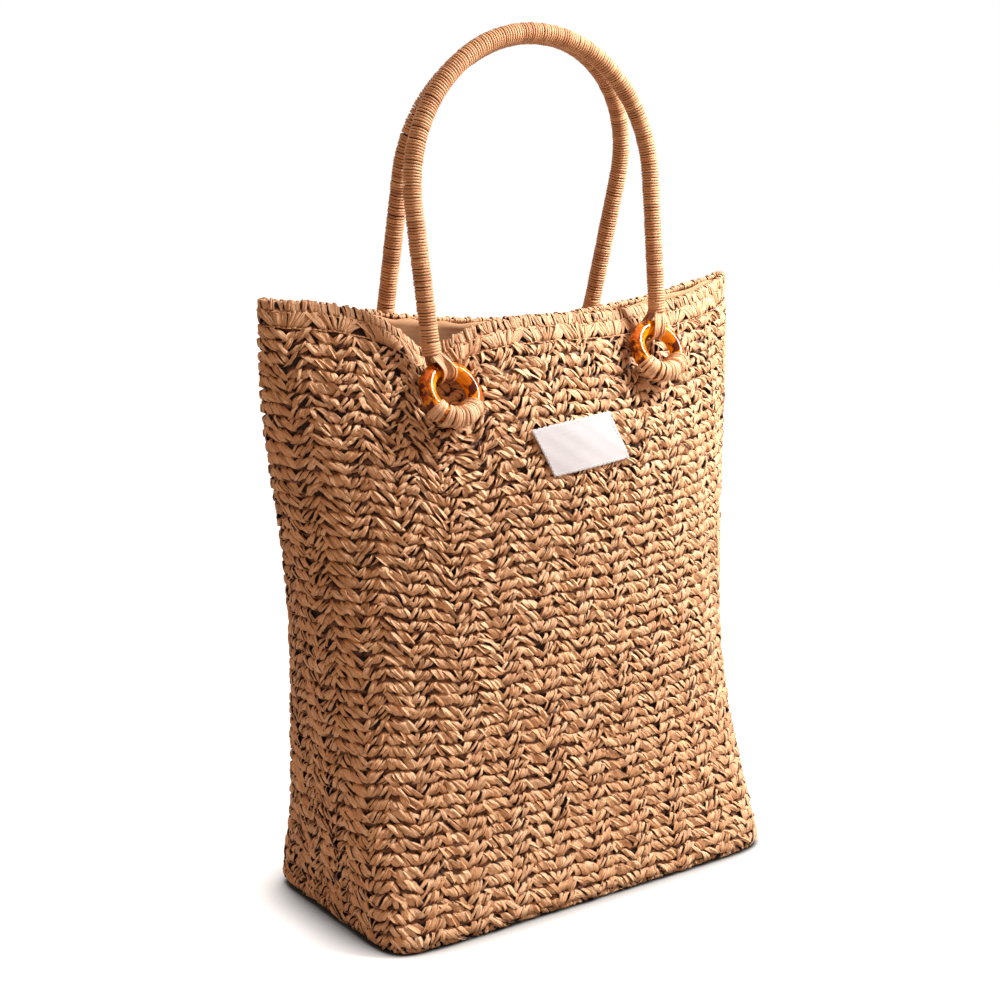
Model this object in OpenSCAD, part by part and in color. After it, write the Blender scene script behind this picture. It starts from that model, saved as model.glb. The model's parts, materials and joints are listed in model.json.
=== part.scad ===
// Beach bag: a seamless tote of woven paper straw with a cotton lining. Two rope handles
// hang on four rings, and each ring is lashed to the bag with a fan of straw stitches.
// The bag stands on z = 0, its width runs along X and its front faces -Y.

/* [Bag] */
// Height of the rim at the side corners
bag_h = 390; // [380:2:400]
// Width of the standing base
base_w = 304; // [300:1:308]
// Depth of the standing base
base_d = 154; // [150:1:158]
// Width of the mouth from corner to corner
mouth_w = 366; // [362:1:370]
// Depth of the mouth at its middle
mouth_d = 45; // [43:1:50]
// Radius of the turn from the wall to the base
base_edge_r = 7; // [6:1:9]
// Thickness of the woven straw
straw_t = 4; // [3.5:0.25:4.5]
// Thickness of the lining cloth
cloth_t = 0.8; // [0.6:0.1:1]

/* [Rim] */
// Drop of the front rim at its middle
front_sag = 18.5; // [14:0.5:22]
// Drop of the rear rim at its middle
rear_sag = 25; // [20:1:28]
// Drop of the front rim where the left ring pulls it in
ring_slump = 29; // [22:1:30]
// Width of the overcast binding below the rim
binding_w = 10; // [8:1:12]

/* [Rings] */
// Mean diameter of a ring
ring_d = 32; // [30:1:34]
// Diameter of the ring's round section
ring_section_d = 10; // [9:0.5:10]
// Lean of each ring's top towards the mouth
ring_lean = 32; // [28:1:34]
// Number of stitches in each lashing
stitches = 12; // [6:1:12]

/* [Handles] */
// Outer diameter of a wrapped handle
handle_d = 10.6; // [9.6:0.2:11]
// Diameter of the stiff core
core_d = 7; // [6:0.5:8]
// Height of the front handle's straight legs over their hinge line
front_leg_h = 99.5; // [90:0.5:110]
// Height of the rear handle's straight legs over their hinge line
rear_leg_h = 103.5; // [90:0.5:110]
// Angle at which each leg splays outwards
leg_splay = 1.4; // [0:0.2:3]

/* [Label] */
// Width of the sewn cotton label
label_w = 56; // [40:1:60]
// Height of the label
label_h = 34; // [24:1:36]

/* [Hidden] */

$fn = 48;

straw = "burlywood";
shaded_straw = "tan";
cloth = "wheat";
cotton = "ivory";
acrylic = "darkorange";
rope = "peru";

// Sections up the bag, each one: share of the height, half width, half depth,
// squareness of the outline (2 is an ellipse), and how far its middle lies to the rear
sections = [
    [0.00, base_w / 2, base_d / 2, 12, 0],
    [0.12, base_w / 2 + 4, base_d / 2 - 6.5, 5.7, 3],
    [0.30, base_w / 2 + 6.5, base_d / 2 - 8, 3.2, 11],
    [0.55, mouth_w / 2 - 18, base_d / 2 - 16, 2.5, 13],
    [0.80, mouth_w / 2 - 3, mouth_d / 2 + 32, 1.85, 16],
    [1.00, mouth_w / 2, mouth_d / 2, 2.1, 16.5]
];
top_section = len(sections) - 1;

// The middle of the mouth bows forwards, and the front is drawn in beside its rings
mouth_bow = 17;
front_tilt = 0.7;
pinch_depth = 11.5;
pinch_start = 0.75;
pull_reach = 31;
pull_round = 6;
tip_fade = 3;

// Grid of the woven wall: rows are closer at the base edge and the rim
turn_rows = [0, 0.14, 0.45];
wall_rows = [0.07, 0.12, 0.2, 0.3, 0.42, 0.55, 0.66, 0.75, 0.82, 0.88, 0.93, 0.97, 1];
long_side_steps = 24;
short_side_steps = 8;
base_rim_t = 1;
wall_foot_h = 14;

// Clearances and seats
lining_gap = 0.3;
seat = 0.2;
base_seat = 0.8;
binding_t = 1.2;

side_front = -1;
side_rear = 1;
left = 0;
right = 1;

// Ring places: x of each ring, its drop below the rim, and the angle round the ring at
// which the handle's loop sits, for [front, rear] and [left, right]
ring_x = [[-83, 79.5], [-83, 83]];
ring_drop = [[33, 31], [31, 31]];
loop_angle = [[0, 8], [0, 0]];
ring_standoff = 13.2;
standoff_rise = 0.6;
ring_r = ring_d / 2;
ring_section_r = ring_section_d / 2;

// Lashing: half of the fan's angle, the strand, and how deep it is sewn in
fan_half_angle = 56;
strand_r = 0.8;
sewn_depth = 2;
reach_step = 0.75;

// Handles: each foot's place along the hinge line from the bag's middle, and the lean
// of the whole handle towards the other one, for [front, rear]. The legs run a weld's
// depth into the arch, which makes them one solid.
foot_x = [[-90, 87], [-83, 83]];
handle_lean = [0.5, 15.4];
leg_h = [front_leg_h, rear_leg_h];
foot_h = 12;
weld = 0.005;
handle_r = handle_d / 2;
core_r = core_d / 2;

// Loop: a flared collar of straw round the ring and a neck up to the handle's foot
loop_w = 9;
loop_t = 1.9;
loop_waist_r = 6.2;
loop_mouth_r = 9;
neck_r = 4.4;
neck_tuck = 4;
binding_turns = 4;
binding_cord_r = 1.1;
binding_pitch = 2;

// Label: middle and hang
label_x = 7;
label_v = 0.775;
label_skew = 4;
label_t = 0.9;
label_steps = 10;

// ---- The bag's form ----

// Slope of column k of the sections at row i
function section_slope(k, i) =
    let (
        below = sections[max(i - 1, 0)],
        above = sections[min(i + 1, top_section)]
    )
    (above[k] - below[k]) / (above[0] - below[0]);

// The section row at or below the height share v
function section_row(v) = max([for (i = [0:top_section - 1]) if (v >= sections[i][0] || i == 0) i]);

// Smooth value of column k of the sections at the height share v
function section_at(k, v) =
    let (
        i = section_row(v),
        h = sections[i + 1][0] - sections[i][0],
        s = (v - sections[i][0]) / h,
        s2 = s * s,
        s3 = s2 * s
    )
    (2 * s3 - 3 * s2 + 1) * sections[i][k] + (3 * s2 - 2 * s3) * sections[i + 1][k]
    + h * (s3 - 2 * s2 + s) * section_slope(k, i)
    + h * (s3 - s2) * section_slope(k, i + 1);

// How much the outline is drawn in by the round turn at the base
function turn_in(v) =
    let (rise = base_edge_r - v * bag_h)
    rise > 0 ? base_edge_r - sqrt(max(0, pow(base_edge_r, 2) - rise * rise)) : 0;

// 1 beside a front ring, fading with the distance from it
function pull(x, i) =
    exp(-(sqrt(pow(x - ring_x[0][i], 2) + pow(pull_round, 2)) - pull_round) / pull_reach);

// The point at height share v whose place in the outline is (t, w), shares of the half
// width and half depth. The outline is drawn in by inset.
function skin_point(t, w, v, inset = 0) =
    let (
        shrink = inset + turn_in(v),
        x = t * (section_at(1, v) - shrink),
        front = w < 0 ? min(1, -w * tip_fade) : 0,
        draw = pow(max(0, v - pinch_start) / (1 - pinch_start), 2),
        y = w * (section_at(2, v) - shrink) + section_at(4, v)
            - mouth_bow * pow(v, 4) * (1 - t * t)
            + front * pinch_depth * draw * (pull(x, left) + pull(x, right)),
        sag = w < 0 ? front_sag * (1 + front_tilt * t) : rear_sag,
        z = v * (bag_h - sag * (1 - t * t)) - front * ring_slump * pull(x, left) * v * v
    )
    [x, y, z];

// The same point from a place (p, q) on the unit square round the outline
function form_point(pq, v, inset = 0) =
    let (
        n = section_at(3, v),
        r = pow(pow(abs(pq.x), n) + pow(abs(pq.y), n), -1 / n)
    )
    skin_point(pq.x * r, pq.y * r, v, inset);

// The same point from its width x on the front or rear panel
function panel_point(x, v, side, inset = 0) =
    let (
        t = x / (section_at(1, v) - inset - turn_in(v)),
        n = section_at(3, v),
        w = side * pow(max(0, 1 - pow(abs(t), n)), 1 / n)
    )
    skin_point(t, w, v, inset);

// Height share of a panel at the point (x, z), found by closing in on it
function share_at(x, z, side, v = label_v, tries = 5) =
    tries == 0 ? v
    : share_at(x, z, side, min(1, v + (z - panel_point(x, v, side).z) / bag_h), tries - 1);

// How far the point p stands off the panel, along Y
function standoff(p, side) = side * (p.y - panel_point(p.x, share_at(p.x, p.z, side), side).y);

// Places round the unit square from the left tip along the front to the right tip, closer
// together near the corners
half_side = short_side_steps / 2;
front_places = concat(
    [for (i = [0:half_side - 1]) [-1, -sin(90 * i / half_side)]],
    [for (i = [0:long_side_steps - 1]) [sin(180 * i / long_side_steps - 90), -1]],
    [for (i = [0:half_side]) [1, -cos(90 * i / half_side)]]
);
rear_places = [for (p = front_places) [-p.x, -p.y]];
all_places = concat(
    [for (i = [0:len(front_places) - 2]) front_places[i]],
    [for (i = [0:len(rear_places) - 2]) rear_places[i]]
);

// A closed band round the bag: profile rows are [height share, inset, lift], in order
// round the band's own section. Each four-cornered field is halved the same way on both
// faces, which keeps neighbouring bands parallel.
function band_points(places, profile) =
    [for (place = places, row = profile) form_point(place, row[0], row[1]) + [0, 0, row[2]]];

module band(places, profile, closed = true) {
    n = len(profile);
    m = len(places);
    spans = closed ? m : m - 1;
    walls = [
        for (i = [0:spans - 1], k = [0:n - 1])
            let (
                a = i * n + k,
                b = i * n + (k + 1) % n,
                c = ((i + 1) % m) * n + (k + 1) % n,
                d = ((i + 1) % m) * n + k
            )
            each k < n / 2 ? [[a, b, c], [a, c, d]] : [[a, b, d], [b, c, d]]
    ];
    // An open band's profile goes up its outer face and down its inner one, so that
    // row k of the outer face lies over row n - 1 - k
    end = (m - 1) * n;
    caps = closed ? [] : [
        for (k = [0:n / 2 - 2])
            let (o = k, i = n - 1 - k)
            each [
                [i, o + 1, o], [i, i - 1, o + 1],
                [end + o, end + o + 1, end + i], [end + o + 1, end + i - 1, end + i]
            ]
    ];
    polyhedron(band_points(places, profile), concat(walls, caps), convexity = 8);
}

// Outline of the bag's foot, drawn in from the outer face of the turned base edge
function foot_outline(inset) = [for (place = all_places) let (f = form_point(place, 0, inset)) [f.x, f.y]];

// ---- Straw bag ----

// The wall and the lining share their rows from the lining's foot upwards, so that one
// never cuts into the other
turn_shares = [for (s = turn_rows) s * base_edge_r / bag_h];
lining_shares = concat([for (h = [straw_t + cloth_t, base_edge_r, wall_foot_h]) h / bag_h], wall_rows);
wall_shares = concat(turn_shares, lining_shares);
foot_share = wall_foot_h / bag_h;

// Inset of the wall's inner face, which is thicker where it meets the base
function inner_inset(v, gap = 0) =
    let (rise = max(0, 1 - v / foot_share))
    straw_t + gap + (base_rim_t - straw_t + base_edge_r) * rise * rise - turn_in(v);

wall_profile = concat(
    [for (v = wall_shares) [v, 0, 0]],
    [for (i = [len(wall_shares) - 1:-1:0]) let (v = wall_shares[i])
        [v, v < foot_share ? inner_inset(v) : straw_t, 0]]
);

module woven_wall() {
    color(straw) band(all_places, wall_profile);
}

module woven_base() {
    color(straw) linear_extrude(straw_t) polygon(foot_outline(base_rim_t - base_seat));
}

binding_share = 1 - binding_w / bag_h;
binding_inner = straw_t + lining_gap + cloth_t;
binding_round = binding_t / bag_h;
binding_profile = [
    [binding_share, seat, 0],
    [binding_share, -binding_t / 2, 0],
    [binding_share + binding_round, -binding_t, 0],
    [1, -binding_t, 0],
    [1, seat, binding_t],
    [1, binding_inner - seat, binding_t],
    [1, binding_inner + binding_t, 0],
    [binding_share, binding_inner + binding_t, 0],
    [binding_share, binding_inner - seat, 0],
    [1, binding_inner - seat, -seat],
    [1, seat, -seat]
];

module rim_binding() {
    color(shaded_straw) band(all_places, binding_profile);
}

// ---- Lining ----

lining_profile = concat(
    [for (v = lining_shares) [v, inner_inset(v, lining_gap), v == 1 ? -seat : 0]],
    [for (i = [len(lining_shares) - 1:-1:0]) let (v = lining_shares[i])
        [v, inner_inset(v, lining_gap + cloth_t), v == 1 ? -seat : 0]]
);

module lining_front() {
    color(cloth) band(front_places, lining_profile, closed = false);
}

module lining_rear() {
    color(cloth) band(rear_places, lining_profile, closed = false);
}

module lining_base() {
    color(cloth) translate([0, 0, straw_t])
        linear_extrude(cloth_t) polygon(foot_outline(base_rim_t + lining_gap));
}

// ---- Label ----

module label() {
    side = side_front;
    rows = [for (j = [0:2]) j / 2];
    cols = [for (i = [0:label_steps]) i / label_steps];
    function place(s, r, inset) =
        let (
            v = label_v + (r - 1 / 2) * label_h / bag_h,
            x = label_x + (s - 1 / 2) * label_w - (r - 1 / 2) * label_skew
        )
        panel_point(x, v, side, inset);
    n = len(rows) * 2;
    points = [for (s = cols) each concat(
        [for (r = rows) place(s, r, -label_t)],
        [for (i = [len(rows) - 1:-1:0]) place(s, rows[i], seat)]
    )];
    walls = [for (i = [0:label_steps - 1], k = [0:n - 1])
        let (a = i * n + k, b = i * n + (k + 1) % n, c = b + n, d = a + n)
        each [[a, b, c], [a, c, d]]];
    end = label_steps * n;
    caps = [for (k = [0:len(rows) - 2]) let (o = k, i = n - 1 - k) each [
        [i, o + 1, o], [i, i - 1, o + 1],
        [end + o, end + o + 1, end + i], [end + o + 1, end + i - 1, end + i]
    ]];
    color(cotton) polyhedron(points, concat(walls, caps), convexity = 4);
}

// ---- Rings and lashings ----

function side_of(face) = face == 0 ? side_front : side_rear;

// Middle of a ring: it stands off the panel and a little above its sewing line
function ring_middle(face, i) =
    let (
        side = side_of(face),
        rise = standoff_rise * ring_lean,
        x = ring_x[face][i],
        v = 1 - ring_drop[face][i] / bag_h
    )
    panel_point(x, v, side) + ring_standoff * [0, side * cos(rise), sin(rise)];

// Where a handle's loop sits on its ring
function loop_middle(face, i) =
    let (side = side_of(face), a = loop_angle[face][i])
    ring_middle(face, i)
    + ring_r * [sin(a), -side * cos(a) * sin(ring_lean), cos(a) * cos(ring_lean)];

// A ring's own frame: its face looks along -Y and its top is at +Z
module at_ring(face, i) {
    translate(ring_middle(face, i)) rotate([-ring_lean, 0, face == 0 ? 0 : 180]) children();
}

module ring(face, i) {
    color(acrylic) at_ring(face, i)
        rotate([90, 0, 0]) rotate_extrude() translate([ring_r, 0]) circle(ring_section_r);
}

// Length of a strand that leaves the ring's frame at p, along the ring's axis into the wall
function strand_reach(face, i, p, reach = 0, tries = 4) =
    let (
        side = side_of(face),
        turn = -side,
        place = ring_middle(face, i) + [
            turn * p.x,
            side * (-reach * cos(ring_lean) - p.z * sin(ring_lean)),
            p.z * cos(ring_lean) - reach * sin(ring_lean)
        ],
        gap = standoff(place, side)
    )
    tries == 0 ? reach + sewn_depth
    : strand_reach(face, i, p, reach + reach_step * gap, tries - 1);

// One stitch: over the front of the ring and back into the bag on both sides of it
module stitch(face, i, angle) {
    over_r = ring_section_r + strand_r;
    outward = [sin(angle), 0, -cos(angle)];
    translate(ring_r * outward) rotate([0, -angle, 0]) {
        rotate([0, 90, 0]) rotate([0, 0, 180]) rotate_extrude(angle = 180)
            translate([over_r, 0]) circle(strand_r, $fn = 16);
        for (end = [-1, 1])
            translate([0, 0, end * over_r]) rotate([-90, 0, 0])
                cylinder(r = strand_r, h = strand_reach(face, i, (ring_r - end * over_r) * outward), $fn = 16);
    }
}

module lashing(face, i) {
    color(straw) at_ring(face, i)
        for (k = [0:stitches - 1])
            stitch(face, i, fan_half_angle * (2 * k / (stitches - 1) - 1));
}

// ---- Handles ----

function unit(a) = a / norm(a);

// A handle's own frame: the hinge line is X through the origin, its arch stands along Z
module at_handle(face) {
    a = loop_middle(face, left);
    b = loop_middle(face, right);
    side = side_of(face);
    ex = unit(b - a);
    upright = [0, -side * sin(handle_lean[face]), cos(handle_lean[face])];
    ez = unit(upright - (upright * ex) * ex);
    ey = cross(ez, ex);
    o = a - ex * (a.x / ex.x);
    multmatrix([
        [ex.x, ey.x, ez.x, o.x],
        [ex.y, ey.y, ez.y, o.y],
        [ex.z, ey.z, ez.z, o.z]
    ]) children();
}

// Place along the hinge line for a width x of the bag
function along_hinge(face, x) =
    let (ex = unit(loop_middle(face, right) - loop_middle(face, left)))
    x / ex.x;

// The arch's path carrying a round section: two straight legs that splay outwards and run
// smoothly into the round top
module arch(face) {
    feet = [for (x = foot_x[face]) along_hinge(face, x)];
    half = (feet[1] - feet[0]) / 2;
    rise = leg_h[face] - foot_h;
    top_r = half * cos(leg_splay) + rise * sin(leg_splay);
    leg_l = (rise - top_r * sin(leg_splay)) / cos(leg_splay);
    translate([(feet[0] + feet[1]) / 2, 0, leg_h[face]]) rotate([90, 0, 0]) {
        rotate([0, 0, -leg_splay]) rotate_extrude(angle = 180 + 2 * leg_splay, $fn = 96)
            translate([top_r, 0]) children();
        for (flip = [0, 1])
            mirror([flip, 0, 0]) rotate([0, 0, -leg_splay]) translate([top_r, weld, 0])
                rotate([90, 0, 0]) linear_extrude(leg_l + weld) children();
    }
}

module handle_core(face) {
    color(rope) at_handle(face) arch(face) circle(core_r);
}

module handle_wrap(face) {
    color(rope) at_handle(face) arch(face) difference() {
        circle(handle_r);
        circle(core_r);
    }
}

// Moves to a handle's foot, where +Z runs up the leg
module at_foot(face, i) {
    at_handle(face) translate([along_hinge(face, foot_x[face][i]), 0, foot_h]) children();
}

// A loop's collar flares to both sides, so that it can swing on the curved ring
module loop(face, i) {
    place = along_hinge(face, loop_middle(face, i).x);
    foot = along_hinge(face, foot_x[face][i]) - place;
    flare = loop_mouth_r - loop_waist_r;
    flare_r = (pow(loop_w / 2, 2) + flare * flare) / (2 * flare);
    half = loop_w / 2;
    color(straw) at_handle(face) translate([place, 0, 0]) difference() {
        union() {
            rotate([0, 90, 0]) cylinder(r = loop_mouth_r + loop_t / 2, h = loop_w, center = true);
            hull() {
                translate([0, 0, loop_waist_r])
                    cube([loop_w, 2 * neck_r, seat], center = true);
                translate([foot, 0, foot_h - neck_tuck]) cylinder(r = neck_r, h = neck_tuck, $fn = 32);
            }
        }
        rotate([0, 90, 0]) rotate_extrude() difference() {
            translate([0, -half - 1]) square([loop_mouth_r, loop_w + 2]);
            translate([loop_waist_r + flare_r, 0]) circle(flare_r, $fn = 96);
        }
    }
}

// The last turns of the wrapping cord, pulled tight over the neck of the loop
module end_binding(face, i) {
    color(rope) at_foot(face, i)
        for (k = [0:binding_turns - 1])
            translate([0, 0, (k - 1) * binding_pitch]) rotate_extrude()
                translate([handle_r, 0]) circle(binding_cord_r, $fn = 24);
}

woven_wall();
woven_base();
rim_binding();
lining_front();
lining_rear();
lining_base();
label();
ring(0, left);  // front_left_ring
ring(0, right);  // front_right_ring
ring(1, left);  // rear_left_ring
ring(1, right);  // rear_right_ring
lashing(0, left);  // front_left_lashing
lashing(0, right);  // front_right_lashing
lashing(1, left);  // rear_left_lashing
lashing(1, right);  // rear_right_lashing
handle_core(0);  // front_handle_core
handle_wrap(0);  // front_handle_wrap
handle_core(1);  // rear_handle_core
handle_wrap(1);  // rear_handle_wrap
loop(0, left);  // front_left_loop
loop(0, right);  // front_right_loop
loop(1, left);  // rear_left_loop
loop(1, right);  // rear_right_loop
end_binding(0, left);  // front_left_end_binding
end_binding(0, right);  // front_right_end_binding
end_binding(1, left);  // rear_left_end_binding
end_binding(1, right);  // rear_right_end_binding
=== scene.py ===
"""Looks of a straw beach bag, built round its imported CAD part.

The bag is woven from folded paper ribbons in a chevron of short slanting strands. Two stiff
handles are wrapped with fine paper cord and hang by straps of straw on four tortoiseshell
rings, and each ring is whipped to the wall with a fan of stitches. The bag stands on z = 0,
its width runs along X and its front faces -Y. Everything is in metres.
"""

import json
import logging
import math
from dataclasses import dataclass
from enum import Enum
from typing import Callable, Sequence

import bmesh
import bpy
import numpy as np
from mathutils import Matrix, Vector

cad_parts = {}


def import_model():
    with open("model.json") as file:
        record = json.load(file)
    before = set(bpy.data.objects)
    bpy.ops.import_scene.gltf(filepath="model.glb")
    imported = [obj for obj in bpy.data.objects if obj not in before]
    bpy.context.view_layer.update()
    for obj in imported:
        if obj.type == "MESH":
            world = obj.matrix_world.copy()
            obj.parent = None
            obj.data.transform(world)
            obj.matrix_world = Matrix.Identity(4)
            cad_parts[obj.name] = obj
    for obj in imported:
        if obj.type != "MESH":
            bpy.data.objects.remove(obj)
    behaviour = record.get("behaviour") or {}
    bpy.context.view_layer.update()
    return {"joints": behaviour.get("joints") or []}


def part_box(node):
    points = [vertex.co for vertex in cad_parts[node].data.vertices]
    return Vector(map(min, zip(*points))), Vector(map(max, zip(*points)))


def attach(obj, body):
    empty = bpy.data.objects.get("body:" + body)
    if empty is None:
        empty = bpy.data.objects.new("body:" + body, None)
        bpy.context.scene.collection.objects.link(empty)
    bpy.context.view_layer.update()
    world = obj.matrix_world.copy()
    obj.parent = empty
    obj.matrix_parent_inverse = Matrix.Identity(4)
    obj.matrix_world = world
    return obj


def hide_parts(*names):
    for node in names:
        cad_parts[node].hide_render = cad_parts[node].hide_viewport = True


log = logging.getLogger("beach_bag")

MM = 0.001

Array = np.ndarray
Colour = tuple[float, float, float]
BMesh = bmesh.types.BMesh
Piece = bpy.types.Object
Material = bpy.types.Material
NodeTree = bpy.types.NodeTree
Node = bpy.types.Node
Socket = bpy.types.NodeSocket


class Named(Enum):
    """Choices whose names are spelt as in the part's nodes."""

    @property
    def word(self) -> str:
        """The choice's name in small letters."""
        return self.name.lower()


class Face(Named):
    """The two faces of the bag, each with its direction along Y."""

    FRONT = -1
    REAR = 1


class Hand(Named):
    """The two ends of a handle, each with its direction along X."""

    LEFT = -1
    RIGHT = 1


# ---------------------------------------------------------------- small mathematics


def unit(vectors: Array) -> Array:
    """Vectors of length one that point the way the given ones do."""
    lengths = np.linalg.norm(vectors, axis=-1, keepdims=True)
    return vectors / np.maximum(lengths, 1e-12)


def signed_power(values: Array, power: float) -> Array:
    """The values' sizes raised to a power, with the values' signs."""
    return np.sign(values) * np.abs(values) ** power


def shades(rng: np.random.Generator, mean: float, spread: float, count: int) -> Array:
    """Random shades from 0 to 1, scattered round a mean."""
    return np.clip(rng.normal(mean, spread, count), 0, 1)


def run_along(points: Array) -> Array:
    """Distances along a chain of points, from its first one."""
    return np.concatenate([[0], np.cumsum(np.linalg.norm(np.diff(points, axis=0), axis=1))])


def hash_word(word: str) -> int:
    """A steady number from a word, for seeding."""
    return sum(ord(letter) * (i + 1) for i, letter in enumerate(word))


def curve_through(keys: Sequence[float], values: Sequence[Sequence[float]], at: Array) -> Array:
    """Reads a smooth curve through a few key points.

    Args:
        keys: Rising places of the key points.
        values: One row for each key point.
        at: Places to read the curve at.

    Returns:
        One row for each place read.
    """
    places = np.asarray(keys, float)
    rows = np.asarray(values, float)
    low = np.maximum(np.arange(len(places)) - 1, 0)
    high = np.minimum(np.arange(len(places)) + 1, len(places) - 1)
    slope = (rows[high] - rows[low]) / (places[high] - places[low])[:, None]
    i = np.clip(np.searchsorted(places, at, side="right") - 1, 0, len(places) - 2)
    h = places[i + 1] - places[i]
    s = ((at - places[i]) / h)[..., None]
    h = h[..., None]
    return (
        (2 * s**3 - 3 * s**2 + 1) * rows[i]
        + (3 * s**2 - 2 * s**3) * rows[i + 1]
        + h * (s**3 - 2 * s**2 + s) * slope[i]
        + h * (s**3 - s**2) * slope[i + 1]
    )


def path_through(keys: Sequence[Sequence[float]], steps: int) -> Array:
    """A smooth path through key points, read at even steps of the distance between them."""
    places = np.asarray(keys, float)
    run = run_along(places)
    return curve_through(run / run[-1], places, np.linspace(0, 1, steps))


# ---------------------------------------------------------------- the bag's form


@dataclass(frozen=True)
class BagForm:
    """The soft form of the bag: sections from the base to the mouth, as the CAD part has them.

    The mouth sags between its ends and slumps at the left front ring. The two front rings pinch
    and pull the upper wall in, and the left end of the mouth dips a little.
    """

    height: float = 390 * MM
    base_width: float = 304 * MM
    base_depth: float = 154 * MM
    mouth_width: float = 366 * MM
    mouth_depth: float = 45 * MM
    edge_radius: float = 7 * MM
    front_sag: float = 18.5 * MM
    rear_sag: float = 25 * MM
    ring_slump: float = 29 * MM
    mouth_bow: float = 17 * MM
    front_tilt: float = 0.7
    pinch_depth: float = 11.5 * MM
    pinch_start: float = 0.75
    pull_reach: float = 31 * MM
    pull_round: float = 6 * MM
    tip_fade: float = 3.0
    tip_dip: float = 6 * MM
    tip_start: float = 0.55
    front_ring_x: tuple[float, float] = (-83 * MM, 79.5 * MM)

    def sections(self) -> list[list[float]]:
        """Rows of height share, half width, half depth, squareness and shift to the rear."""
        half_base, half_mouth = self.base_width / 2, self.mouth_width / 2
        deep_base, deep_mouth = self.base_depth / 2, self.mouth_depth / 2
        return [
            [0.00, half_base, deep_base, 12, 0],
            [0.12, half_base + 4 * MM, deep_base - 6.5 * MM, 5.7, 3 * MM],
            [0.30, half_base + 6.5 * MM, deep_base - 8 * MM, 3.2, 11 * MM],
            [0.55, half_mouth - 18 * MM, deep_base - 16 * MM, 2.5, 13 * MM],
            [0.80, half_mouth - 3 * MM, deep_mouth + 32 * MM, 1.85, 16 * MM],
            [1.00, half_mouth, deep_mouth, 2.1, 16.5 * MM],
        ]

    def section(self, share: Array) -> Array:
        """Rows of half width, half depth, squareness and shift, at height shares."""
        rows = self.sections()
        return curve_through([row[0] for row in rows], [row[1:] for row in rows], share)

    def pull(self, x: Array) -> Array:
        """How strongly the two front rings draw the wall in at each x."""
        return sum(self._pull_of(x, ring_x) for ring_x in self.front_ring_x)

    def _pull_of(self, x: Array, ring_x: float) -> Array:
        """How strongly one ring draws the wall in at each x."""
        away = np.sqrt((x - ring_x) ** 2 + self.pull_round**2) - self.pull_round
        return np.exp(-away / self.pull_reach)

    def point(self, p: Array, q: Array, share: Array, inset: Array) -> Array:
        """Places points on the bag's skin.

        Args:
            p: First coordinate of the place on a unit square round the outline.
            q: Second coordinate of that place.
            share: Height share of each point.
            inset: How far the outline is drawn in at each point.

        Returns:
            Points, in metres.
        """
        half_w, half_d, square, shift = np.moveaxis(self.section(share), -1, 0)
        reach = (np.abs(p) ** square + np.abs(q) ** square) ** (-1 / square)
        t, w = p * reach, q * reach
        x = t * (half_w - inset)
        front = np.where(w < 0, np.minimum(1, -w * self.tip_fade), 0)
        drawn = (np.maximum(0, share - self.pinch_start) / (1 - self.pinch_start)) ** 2
        y = (
            w * (half_d - inset)
            + shift
            - self.mouth_bow * share**4 * (1 - t * t)
            + front * self.pinch_depth * drawn * self.pull(x)
        )
        sag = np.where(w < 0, self.front_sag * (1 + self.front_tilt * t), self.rear_sag)
        slump = front * self.ring_slump * self._pull_of(x, self.front_ring_x[0]) * share**2
        tip = np.clip((-t - self.tip_start) / (1 - self.tip_start), 0, 1)
        dip = self.tip_dip * tip**1.5 * share**6
        z = share * (self.height - sag * (1 - t * t)) - slump - dip
        return np.stack([x, y, z], axis=-1)


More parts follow.
